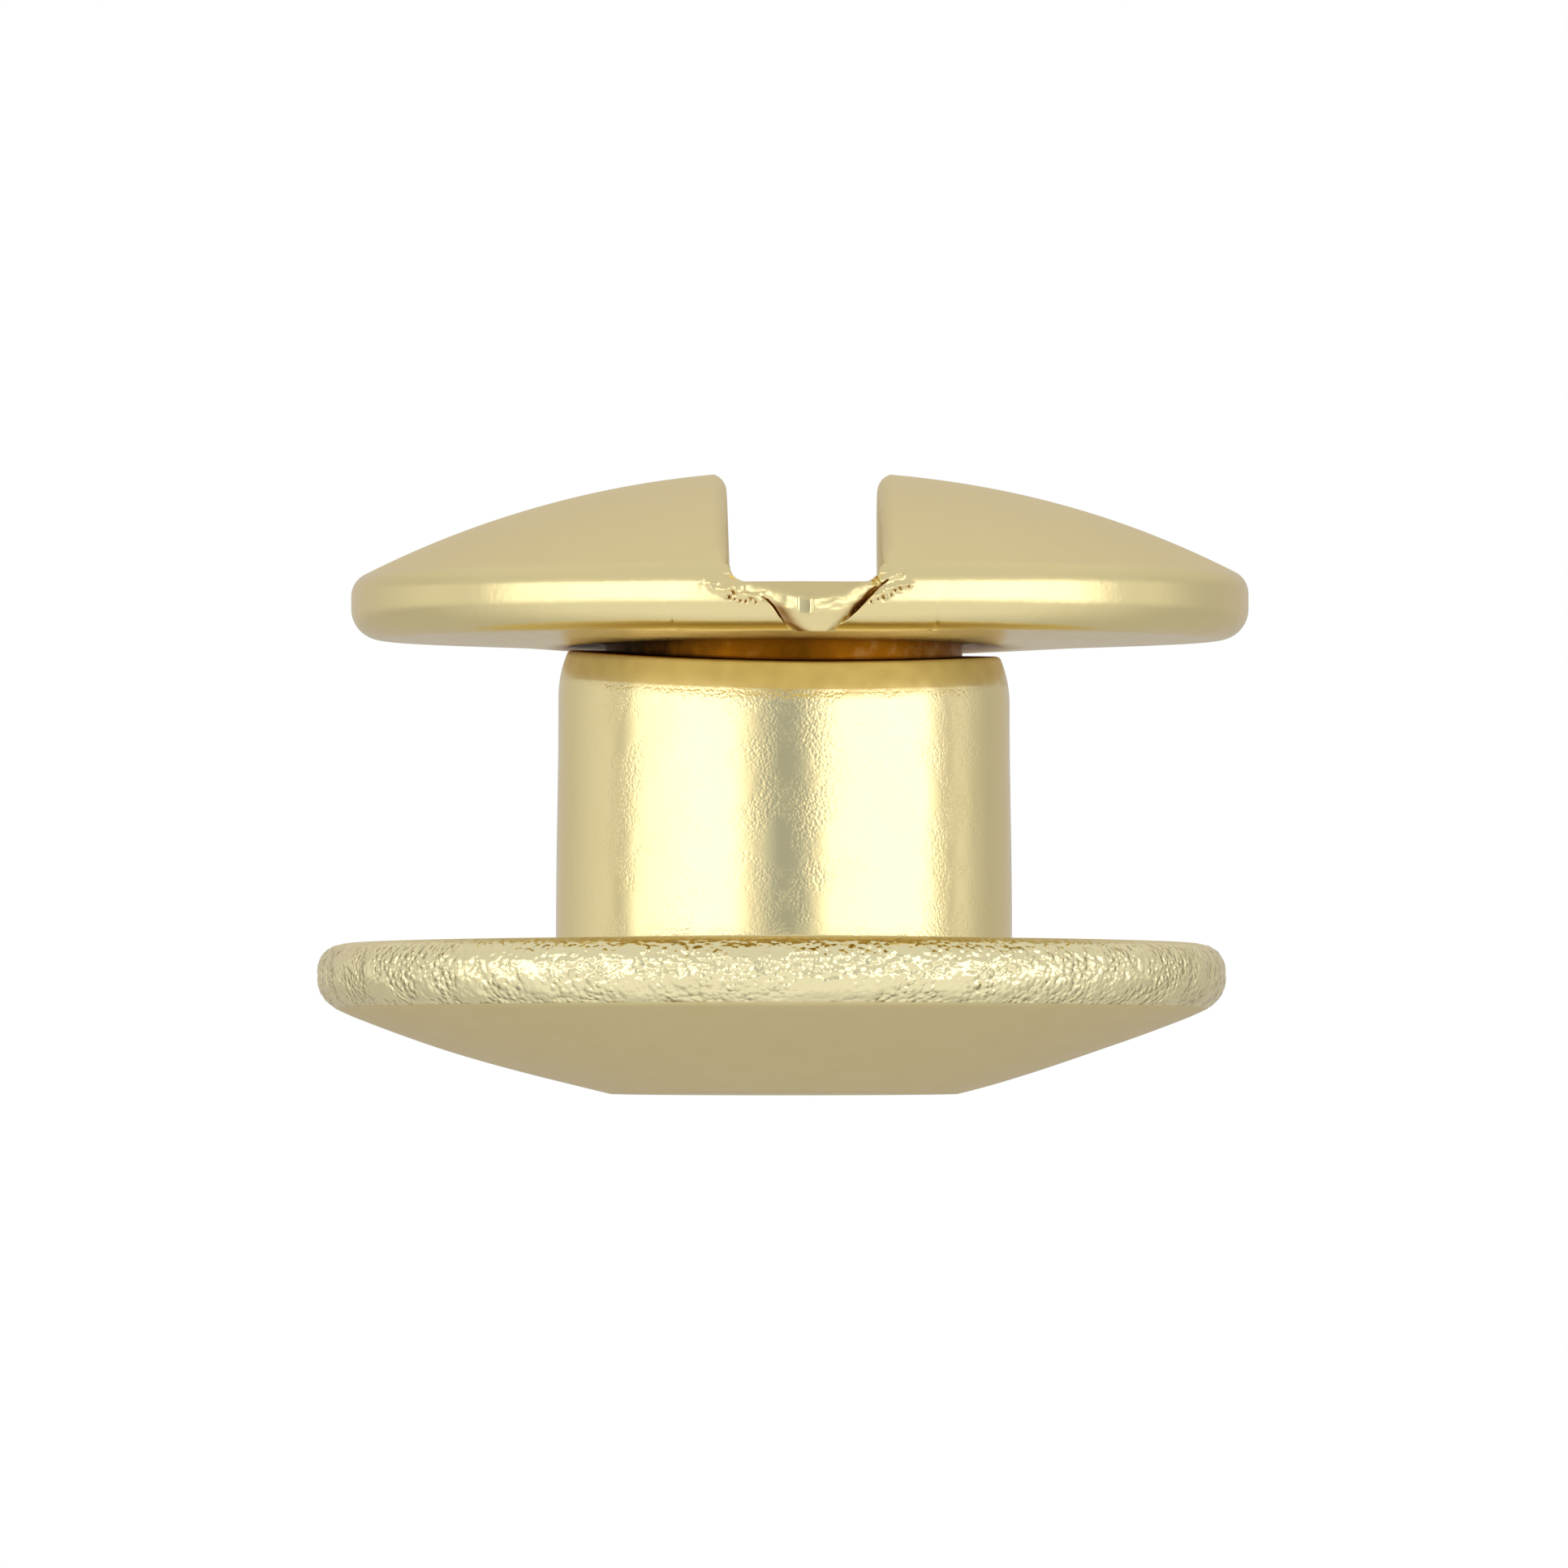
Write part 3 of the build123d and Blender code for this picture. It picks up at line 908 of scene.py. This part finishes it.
def slot_section():
    """The slot's section as a closed outline in the XZ plane, with its face."""
    bm, vert = start_outline(SLOT_LEFT, CUTTER_TOP)
    vert = cut_to(bm, vert, SLOT_LEFT, SLOT_FLOOR_Z + SLOT_CORNER, ROWS)
    vert = cut_round(bm, vert, SLOT_LEFT + SLOT_CORNER, SLOT_FLOOR_Z + SLOT_CORNER, -90, 8)
    vert = cut_to(bm, vert, SLOT_RIGHT - SLOT_CORNER, SLOT_FLOOR_Z, 1)
    vert = cut_round(bm, vert, SLOT_RIGHT - SLOT_CORNER, SLOT_FLOOR_Z + SLOT_CORNER, -90, 8)
    vert = cut_to(bm, vert, SLOT_RIGHT, CUTTER_TOP, ROWS)
    bm.verts.ensure_lookup_table()
    bm.edges.new((vert, bm.verts[0]))
    bmesh.ops.contextual_create(bm, geom=bm.edges[:])
    return bm


print("slot", round(SLOT_RIGHT - SLOT_LEFT, 3), "mm wide")

# %% [markdown]
# The cutter goes through the head in five stretches. The two near its mouths are swept in fine
# steps, because there the roll changes fastest, and the rows up its walls follow the dome's top.

# %% Sweep the cutter
cutter_bm = slot_section()
bmesh.ops.translate(cutter_bm, vec=(0, -CUTTER_REACH, 0), verts=cutter_bm.verts[:])
front = cutter_bm.verts[:] + cutter_bm.edges[:] + cutter_bm.faces[:]
mouth_start = MOUTH_Y + 0.06
mouth_depth = 0.36
for length, steps in (
    (CUTTER_REACH - mouth_start, 1), (mouth_depth, 24), (2 * (mouth_start - mouth_depth), 90),
    (mouth_depth, 24), (CUTTER_REACH - mouth_start, 1),
):
    front = spin(cutter_bm, front, (0, 0, 0), Z_AXIS, 0, steps, (0, length / steps, 0))
bmesh.ops.recalc_face_normals(cutter_bm, faces=cutter_bm.faces[:])
wall_foot = SLOT_FLOOR_Z + SLOT_CORNER
for vert in cutter_bm.verts:
    x, y, z = vert.co
    sign = -1 if abs(x - SLOT_LEFT) < 1e-4 else 1
    wall = SLOT_LEFT if sign < 0 else SLOT_RIGHT
    if abs(x - wall) > 1e-4 or z < wall_foot + 0.001:
        continue
    top = dome_z + sqrt(SCREW_DOME**2 - (wall - SCREW_X) ** 2 - min(abs(y), SCREW_RADIUS) ** 2)
    top += HEAD_TILT * y
    share = (z - wall_foot) / (CUTTER_TOP - wall_foot)
    if share < 0.999:
        vert.co.z = z = wall_foot + (top + 0.03 - wall_foot) * min(1.0, share / 0.95) ** 0.8
    roll = MOUTH_ROLL + (DOME_ROLL - MOUTH_ROLL) * fade(z, 5.65, 5.95)
    vert.co.x += sign * rolled(depth_inside(wall, y, z), roll) - SLOT_LEAN * (z - wall_foot)
print("cutter has", len(cutter_bm.faces), "faces")
cutter = finish_piece(cutter_bm, "slot_cutter", [screw_brass])

# %% [markdown]
# The cutter is taken out of the head once, and the result becomes the head's own mesh. Then the
# metal is painted: the neck in the gap is browned, partly as old oil and partly as painted shade,
# which takes it to black on the left, and the rim is bright where fingers and cloth have rubbed it,
# while the dome has kept its satin.

# %% Cut the slot
cut = screw_skin.modifiers.new("slot", "BOOLEAN")
cut.operation = "DIFFERENCE"
cut.solver = "EXACT"
cut.object = cutter
bpy.context.view_layer.update()
cut_mesh = bpy.data.meshes.new_from_object(
    screw_skin.evaluated_get(bpy.context.evaluated_depsgraph_get())
)
screw_skin.modifiers.clear()
screw_skin.data = cut_mesh
bpy.data.objects.remove(cutter)
cut_mesh.name = "screw_skin"
cut_mesh.materials.clear()
cut_mesh.materials.append(screw_brass)
cut_mesh.shade_smooth()
cut_mesh.set_sharp_from_angle(angle=radians(42))


def screw_patina_and_shade(p):
    """Brown on the neck and in the groove round it, as patina and as painted shade that goes to black
    on the left, and a little on the shank.
    """
    r = hypot(p.x, p.y)
    if p.z < NECK_END_Z - 0.1:
        return 0.3
    # painted shade: the neck darkens towards the left, where it lies in shadow, on top of its patina
    oil_and_shade = 0.95 + 0.80 * fade(p.x, -0.5, -1.4) + 0.20 * hump(p.x - 0.25, 0.3)
    return oil_and_shade * fade(r, SEAT_RING + 0.15, SEAT_RING - 0.2) * (p.z < 5.2)


def screw_finish(p):
    """Bright on the rim and the underside, satin on the dome and the neck."""
    if p.z < seat_edge_z + 0.05:
        return fade(hypot(p.x, p.y), SEAT_RING - 0.1, SEAT_RING + 0.3)
    return fade(depth_inside(p.x, p.y, seat_z + HEAD_TILT * p.y), 0.20, 0.10)


paint(screw_skin, "finish", screw_finish)
paint(screw_skin, "patina_and_shade", screw_patina_and_shade)
print("slotted head has", len(cut_mesh.polygons), "faces")

# %% [markdown]
# The slot was pressed, not milled, so at its front end metal was pushed out over the rim. It
# hangs there as a folded lip, a V-shaped tongue with a crack on each side. Its features are drawn
# as a few lines on the rim as one sees it from the front. Two helpers read such a line: how high
# it is at a place, and how far away it is.

# %% Lip lines in millimetres, as x and z
LIP_CREST = (
    (-0.52, 5.390), (-0.40, 5.350), (-0.24, 5.308), (-0.03, 5.250), (0.12, 5.202), (0.22, 5.180),
    (0.30, 5.180), (0.45, 5.192), (0.62, 5.222), (0.74, 5.285), (0.91, 5.365), (1.02, 5.395),
)
LEFT_CRACK = (
    (-0.230, 5.285), (-0.180, 5.245), (-0.125, 5.190), (-0.056, 5.092), (0.006, 4.999), (0.10, 4.93),
)
RIGHT_CRACK = (
    (1.110, 5.465), (1.013, 5.386), (0.905, 5.275), (0.781, 5.139), (0.690, 5.055), (0.56, 4.95),
)
TONGUE_RIGHT = ((0.960, 5.620), (1.010, 5.480), (1.040, 5.425), *RIGHT_CRACK[1:])
LIP_NOSE = (
    (0.00, 5.00), (0.10, 4.955), (0.20, 4.925), (0.31, 4.905), (0.45, 4.910), (0.56, 4.950),
    (0.66, 5.05),
)
LEFT_CRUMPLE = ((-0.86, 5.430), (-0.72, 5.400), (-0.60, 5.350), (-0.45, 5.300), (-0.28, 5.260))
RIGHT_CRUMPLE = ((0.93, 5.255), (1.06, 5.300), (1.20, 5.370), (1.34, 5.410))
FINGER = ((1.080, 5.460), (1.150, 5.500), (1.246, 5.550))


def line_at(points, place, axis=0):
    """Where a line is at a place on one axis, straight between its points and level past its ends."""
    rows = sorted(points, key=lambda p: p[axis])
    if place <= rows[0][axis]:
        return rows[0][1 - axis]
    for low, high in zip(rows, rows[1:]):
        if place <= high[axis]:
            share = (place - low[axis]) / (high[axis] - low[axis])
            return low[1 - axis] + share * (high[1 - axis] - low[1 - axis])
    return rows[-1][1 - axis]


def near_line(points, x, z):
    """Distance from a line of points, and how far along it the nearest place is, from 0 to 1."""
    best, along = 9.0, 0.0
    for index, ((x0, z0), (x1, z1)) in enumerate(zip(points, points[1:])):
        run_x, run_z = x1 - x0, z1 - z0
        share = ((x - x0) * run_x + (z - z0) * run_z) / (run_x**2 + run_z**2)
        share = min(1.0, max(0.0, share))
        gap = hypot(x - x0 - share * run_x, z - z0 - share * run_z)
        if gap < best:
            best, along = gap, (index + share) / (len(points) - 1)
    return best, along


print("the lip hangs down to z", min(z for x, z in LIP_NOSE), "mm")

# %% [markdown]
# The rim beside the tongue is crumpled into small bright beads, with dark pits between them. Each
# is one place with a size, and a little noise moves every place, so that no two look alike.

# %% Beads and pits, as x, z and size
BEADS = (
    (-0.769, 5.426, 0.055), (-0.638, 5.364, 0.050), (-0.552, 5.387, 0.030), (-0.483, 5.356, 0.042),
    (-0.390, 5.294, 0.042), (-0.304, 5.278, 0.034), (0.982, 5.294, 0.030), (1.036, 5.317, 0.028),
    (1.137, 5.364, 0.040), (1.238, 5.410, 0.040), (1.308, 5.426, 0.034), (1.235, 5.540, 0.040),
)
PITS = (
    (-0.591, 5.278, 0.021), (-0.537, 5.263, 0.014), (-0.475, 5.240, 0.018), (-0.413, 5.232, 0.014),
    (-0.359, 5.247, 0.015), (-0.304, 5.216, 0.014), (-0.552, 5.325, 0.018), (0.936, 5.225, 0.014),
    (1.075, 5.286, 0.018), (1.013, 5.263, 0.012), (1.153, 5.300, 0.014), (1.246, 5.379, 0.020),
    (1.331, 5.387, 0.016), (1.199, 5.345, 0.014),
)
BEAD_HEIGHT = 0.034
PIT_DEPTH = 0.028
CRUMPLE_DEPTH = 0.020
FINGER_HEIGHT = 0.024
WOBBLE_PER_MM = 9.0
WOBBLE = 0.022


def wobbled(x, z):
    """A place on the rim, moved a little so that beads and pits get uneven outlines."""
    bend = noise.noise_vector(Vector((x, z, 0.7)) * WOBBLE_PER_MM) * WOBBLE
    return x + bend.x, z + bend.y


def crumple(x, z):
    """Height that beads, pits, the finger and the crumpled folds add to the rim."""
    x, z = wobbled(x, z)
    folds = hump(near_line(LEFT_CRUMPLE, x, z)[0], 0.060)
    folds += hump(near_line(RIGHT_CRUMPLE, x, z)[0], 0.05)
    height = CRUMPLE_DEPTH * folds * noise.noise(Vector((x * 12, z * 16, 5.5)))
    for bead_x, bead_z, size in BEADS:
        height += BEAD_HEIGHT * hump(hypot(x - bead_x, z - bead_z), size)
    for pit_x, pit_z, size in PITS:
        height -= PIT_DEPTH * hump(hypot(x - pit_x, (z - pit_z) * 1.2), size)
    return height + FINGER_HEIGHT * hump(near_line(FINGER, x, z)[0], 0.036)


print(len(BEADS), "beads and", len(PITS), "pits")

# %% [markdown]
# The tongue is a ridge with a bright crest, a face above it and a chin below. All are told by how
# far they stand in front of the plain rim. The notch in the crest is a small flat that the tool's
# corner pressed, and the share says where the tongue is at all.

# %% The tongue's shape
CREST_WANDER = 0.014
NOTCH_X = 0.2225
NOTCH_HALF = 0.075
NOTCH_DEPTH = 0.007
NOTCH_EDGE = 0.012
CREST_PROUD = 0.045
CREST_RAKE = 0.20
RAKE_REACH = 0.12
OUTER_RAKE = 0.12
CREST_HALF = 0.075
CREST_ROUND = 0.004
WRINKLE = 0.006
FACE_SLOPE = 0.42
CHIN_SLOPE = 0.45
FLANK_WIDTH = 0.11
FLANK_DROP = 0.022
NOSE_DROP = 0.02


def tongue(x, z):
    """How far the tongue stands in front of the plain rim's cylinder."""
    crest_z = line_at(LIP_CREST, x) + CREST_WANDER * noise.noise(Vector((x * 11, 0.4, 2.0)))
    off = max(0.0, abs(x - NOTCH_X) - NOTCH_HALF)
    crest = CREST_PROUD - CREST_RAKE * min(off, RAKE_REACH) - OUTER_RAKE * max(0.0, off - RAKE_REACH)
    above = (z - crest_z) / CREST_HALF
    notch = fade(abs(x - NOTCH_X), NOTCH_HALF, NOTCH_HALF - 0.02)
    notch *= fade(z, 5.29, 5.27) * fade(z, 5.07, 5.10)
    front = crest - CREST_ROUND * min(1.0, abs(above)) ** 2 * (1 - notch)
    front += WRINKLE * noise.noise(Vector((x * 9, z * 15, 3.1))) * fade(off, 0.0, 0.05)
    front += notch * ((x - NOTCH_X) * NOTCH_X / SCREW_RADIUS - NOTCH_DEPTH)
    edge = hump(x - NOTCH_X - NOTCH_HALF, 0.010) * fade(z, 5.29, 5.26)
    front -= NOTCH_EDGE * edge * fade(z, 5.06, 5.10)
    if above > 1:
        front -= FACE_SLOPE * (z - crest_z - CREST_HALF)
    elif above < -1:
        front -= CHIN_SLOPE * (crest_z - CREST_HALF - z) * (1 - notch)
    left = x - line_at(LEFT_CRACK, z, 1)
    right = line_at(TONGUE_RIGHT, z, 1) - x
    front -= FLANK_DROP * (fade(left, FLANK_WIDTH, 0.0) + fade(right, FLANK_WIDTH, 0.0))
    nose_z = line_at(LIP_NOSE, x)
    return front - 0.05 * fade(z, nose_z + 0.05, nose_z - 0.01) ** 2


def tongue_share(x, z):
    """1 on the tongue and 0 off it, with a sharp step at the cracks and a soft one above them."""
    soft = 0.010 + 0.07 * fade(z, 5.22, 5.32)
    left = fade(x - line_at(LEFT_CRACK, z, 1), -soft, soft)
    right = fade(line_at(TONGUE_RIGHT, z, 1) - x, -0.012, 0.012)
    if z > 5.33:
        left = max(left, fade(x, -0.60, -0.40))
    return left * right


print("the tongue's crest stands", CREST_PROUD, "mm in front of the rim")

# %% [markdown]
# A crack runs down each side of the tongue. The left one is a fine line, and the right one gapes
# a little in its middle. Both fade out below, where the tongue is still one with the rim.

# %% Cracks
LEFT_DEPTH = 0.024
RIGHT_DEPTH = 0.04


def crack_places(x, z):
    """Distance from the left crack and place along it, nearness to the right one and place."""
    left, left_along = near_line(LEFT_CRACK, x, z)
    right, right_along = near_line(RIGHT_CRACK, x, z)
    width = 0.007 + 0.005 * hump(right_along - 0.4, 0.25)
    return left, left_along, hump(right, width), right_along


def cracks(x, z):
    """Depth of the two cracks at a point."""
    left, left_along, right_share, right_along = crack_places(x, z)
    depth = LEFT_DEPTH * hump(left, 0.008) * fade(left_along, 0.0, 0.2)
    depth *= fade(left_along, 0.9, 0.6)
    return depth + RIGHT_DEPTH * right_share * fade(right_along, 0.9, 0.65)


print("cracks", LEFT_DEPTH, "and", RIGHT_DEPTH, "mm deep")

# %% [markdown]
# The lip has to end just where the slot's opening begins, so a helper gives the distance from
# the opening and the way out of it. Then one function puts everything together: a point starts
# on the plain rim and is moved by the tongue, the beads, the cracks and the rolled edge.

# %% A point of the lip
GRID_STEP = 0.009
SKIN_GAP = 0.002


def slot_gap(x, z):
    """Distance of a point outside the slot's opening, and the way out. Negative in the opening."""
    z = z + SKIN_GAP
    left = x < (SLOT_LEFT + SLOT_RIGHT) / 2
    wall = SLOT_LEFT + SKIN_GAP if left else SLOT_RIGHT - SKIN_GAP
    wall -= SLOT_LEAN * max(0.0, z - SLOT_FLOOR_Z - SLOT_CORNER)
    sign = -1 if left else 1
    past_wall = (x - wall) * sign
    past_floor = SLOT_FLOOR_Z - z
    if past_wall > -SLOT_CORNER and past_floor > -SLOT_CORNER:
        run_x, run_z = past_wall + SLOT_CORNER, past_floor + SLOT_CORNER
        length = hypot(run_x, run_z)
        return length - SLOT_CORNER, sign * run_x / length, -run_z / length
    if past_wall > past_floor:
        return past_wall, sign, 0.0
    return past_floor, 0.0, -1.0


def lip_point(x, w):
    """A point of the lip: on the plain rim first, then moved out and down by its features."""
    r, z, turn = rim_at(w)
    y = -sqrt(r * r - (x - SCREW_X) ** 2)
    z += settled(x, y, r, z)
    inside = fade(edge_distance(x, w), 0.0, 0.05)
    lift = SKIN_GAP * (3 * inside - 2)
    share = tongue_share(x, z) * fade(w, 0.76, 0.60)
    out = (tongue(x, z) - (r - SCREW_RADIUS)) * share
    crumpled = crumple(x, z) * (1 - 0.7 * share) - cracks(x, z)
    out += fade(edge_distance(x, w), 0.02, 0.12) * crumpled
    gap = slot_gap(x, z)[0]
    at_wall = fade(x, -0.35, -0.62) + fade(x, 0.86, 1.0)
    roll = MOUTH_ROLL * (0.3 + 0.7 * at_wall)
    if gap < roll:
        out -= roll - sqrt(max(0.0, roll**2 - (roll - max(gap, 0.0)) ** 2))
    drop = NOSE_DROP * share * fade(w, 0.40, 0.60) * fade(w, 0.76, 0.66)
    reach = r + lift * cos(turn) + out
    azimuth = asin((x - SCREW_X) / SCREW_RADIUS)
    return Vector((SCREW_X + reach * sin(azimuth), -reach * cos(azimuth), z - drop + lift * sin(turn)))


print("lip point in the middle of the tongue", [round(v, 3) for v in lip_point(NOTCH_X, 0.3)])

# %% [markdown]
# The lip is a fine flat grid at first. The points near the opening are drawn onto its border, the
# faces inside it are deleted, and the border is pulled back into the slot, so that the lip has
# some thickness where one looks past it.

# %% Lay the lip on the rim
PULLED_BACK = 0.45

columns = ceil((LIP_RIGHT - LIP_LEFT) / GRID_STEP)
rows = ceil((LIP_DOWN - LIP_UP) / GRID_STEP)
lip_bm = bmesh.new()
bmesh.ops.create_grid(lip_bm, x_segments=columns, y_segments=rows, size=0.5)
gaps = {}
for vert in lip_bm.verts:
    x = LIP_LEFT + (vert.co.x + 0.5) * (LIP_RIGHT - LIP_LEFT)
    w = LIP_UP + (0.5 - vert.co.y) * (LIP_DOWN - LIP_UP)
    gap, way_x, way_z = slot_gap(x, rim_at(w)[1] - HEAD_TILT * SCREW_RADIUS)
    if abs(gap) < 0.55 * GRID_STEP:
        x -= gap * way_x
        w += gap * way_z
        gap = 0.0
    gaps[vert.index] = gap
    vert.co = lip_point(x, w)
opening = [f for f in lip_bm.faces if sum(gaps[v.index] for v in f.verts) < -1e-6]
bmesh.ops.delete(lip_bm, geom=opening, context="FACES")
slot_edges = [
    e for e in lip_bm.edges
    if e.is_boundary and all(abs(gaps.get(v.index, 1.0)) < GRID_STEP for v in e.verts)
]
print("lip grid", columns, "by", rows, "with", len(slot_edges), "edges at the slot")
for vert in only_verts(bmesh.ops.extrude_edge_only(lip_bm, edges=slot_edges)["geom"]):
    gap, way_x, way_z = slot_gap(vert.co.x, vert.co.z)
    vert.co += Vector((3 * SKIN_GAP * way_x, PULLED_BACK, 3 * SKIN_GAP * way_z))
bmesh.ops.recalc_face_normals(lip_bm, faces=lip_bm.faces[:])
if sum(f.normal.y for f in lip_bm.faces) > 0:
    bmesh.ops.reverse_faces(lip_bm, faces=lip_bm.faces[:])
lip = finish_piece(lip_bm, "folded_lip", [lip_brass], 60)

# %% [markdown]
# The lip is painted by the same lines. The cracks and the pits are painted dark, partly as oil and
# partly as painted shade in these hollows, the tongue's flanks and the notch's edge get painted
# shade, the face above the crest is browned a little, and the crest stays bright.

# %% Paint the lip
def lip_patina_and_shade(p):
    """Brown to black in the cracks, and a little in the pits and on the tongue's flanks, as oil and as
    painted shade.
    """
    left, left_along, right_share, right_along = crack_places(p.x, p.z)
    # painted shade with oil: the cracks go brown to black
    brown = 1.7 * hump(left, 0.007) * fade(left_along, 0.9, 0.6)
    brown += 1.4 * right_share * fade(right_along, 0.9, 0.6)
    # painted shade with oil: each pit gets a brown halo and a darker middle
    bent_x, bent_z = wobbled(p.x, p.z)
    for pit_x, pit_z, size in PITS:
        from_pit = hypot(bent_x - pit_x, bent_z - pit_z)
        brown += 0.30 * hump(from_pit, 1.4 * size) + 0.9 * hump(from_pit, 0.6 * size)
    # painted shade on the tongue's flanks by the cracks and at the notch's edge; the face above the
    # crest is only browned a little
    from_left = p.x - line_at(LEFT_CRACK, p.z, 1)
    from_right = line_at(TONGUE_RIGHT, p.z, 1) - p.x
    flank = 0.75 * hump(from_left - 0.065, 0.080) * fade(p.z, 5.27, 5.14)
    flank += 0.50 * hump(from_right - 0.050, 0.055) * hump(p.z - 5.19, 0.13)
    flank += 0.14 * fade(p.z - line_at(LIP_CREST, p.x), 0.06, 0.12)
    flank += 0.20 * hump(p.x - NOTCH_X - 0.05, 0.05) * hump(p.z - 5.18, 0.09)
    return min(2.0, brown + flank * tongue_share(p.x, p.z))


def lip_satin(p):
    """Satin on the tongue's upper face and chin, bright on its crest and elsewhere."""
    off_crest = fade(abs(p.z - line_at(LIP_CREST, p.x)), 0.05, 0.09)
    return 0.8 * tongue_share(p.x, p.z) * off_crest


paint(lip, "finish", lip_satin)
paint(lip, "patina_and_shade", lip_patina_and_shade)
print("lip painted at", len(lip.data.vertices), "points")

# %% [markdown]
# The thread only shows when the screw is turned out. It is a ridge wound round the core, and a
# matching ridge in the barrel lies half a turn away, so that the two mesh. Each ridge is one
# small section spun about the axis while it climbs, which is just how a thread is rolled.

# %% Threads
STEPS_PER_TURN = 72
FLANK = tan(radians(30))
MALE_CREST_HALF = 0.044
FEMALE_CREST_R = 1.63
FEMALE_CREST_HALF = 0.085
LEAD = 0.35
SUNK = 0.03
RUN_OUT = (0.02, 0.27)


def thread_ridge(name, crest_r, base_r, crest_half, low_z, high_z, material):
    """A ridge wound from low_z to high_z, which runs out over its first and last quarter turn."""
    base_half = crest_half + abs(crest_r - base_r) * FLANK
    bm, first = start_outline(base_r, low_z - base_half)
    vert = cut_to(bm, first, crest_r, low_z - crest_half)
    vert = cut_to(bm, vert, crest_r, low_z + crest_half)
    vert = cut_to(bm, vert, base_r, low_z + base_half)
    bm.edges.new((vert, first))
    bmesh.ops.contextual_create(bm, geom=bm.edges[:])
    turns = (high_z - low_z) / THREAD_PITCH
    steps = round(turns * STEPS_PER_TURN)
    section = bm.verts[:] + bm.edges[:] + bm.faces[:]
    climb = (0, 0, THREAD_PITCH / STEPS_PER_TURN)
    spin(bm, section, (0, 0, 0), Z_AXIS, 2 * pi * steps / STEPS_PER_TURN, steps, climb)
    sunk = base_r + (SUNK if base_r > crest_r else -SUNK)
    for vert in bm.verts:
        x, y, z = vert.co
        r = hypot(x, y)
        turn = atan2(y, x) / (2 * pi)
        turn += round((z - low_z) / THREAD_PITCH - turn)
        grown = fade(min(turn, turns - turn), *RUN_OUT)
        middle = low_z + turn * THREAD_PITCH
        vert.co.z = middle + (z - middle) * (0.3 + 0.7 * grown)
        vert.co.x *= (sunk + (r - sunk) * grown) / r
        vert.co.y *= (sunk + (r - sunk) * grown) / r
    print(name, "is wound", round(turns, 2), "times round")
    bmesh.ops.recalc_face_normals(bm, faces=bm.faces[:])
    ridge = finish_piece(bm, name, [material])
    paint(ridge, "finish", lambda p: 1.0)
    paint(ridge, "patina_and_shade", lambda p: 0.3)
    return ridge


male_low = TIP_Z + LEAD
female_low = male_low + THREAD_PITCH / 2
male = thread_ridge(
    "screw_thread", THREAD_CREST, THREAD_ROOT, MALE_CREST_HALF, male_low, NECK_END_Z - 0.2, screw_brass
)
female = thread_ridge(
    "barrel_thread", FEMALE_CREST_R, MOUTH_RADIUS, FEMALE_CREST_HALF, female_low,
    BARREL_END_Z - 0.45, satin_brass,
)

# %% [markdown]
# The new skins take the place of the plain solids. Each piece is told which body it moves with,
# so that the head, its lip and its thread lift together out of the barrel.

# %% Ride and replace
for piece in (nut_skin, rim_band, female):
    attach(piece, "barrel")
for piece in (screw_skin, lip, male):
    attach(piece, "screw")
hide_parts("barrel_nut")
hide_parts("slotted_screw")
print("the screw carries", [piece.name for piece in (screw_skin, lip, male)])
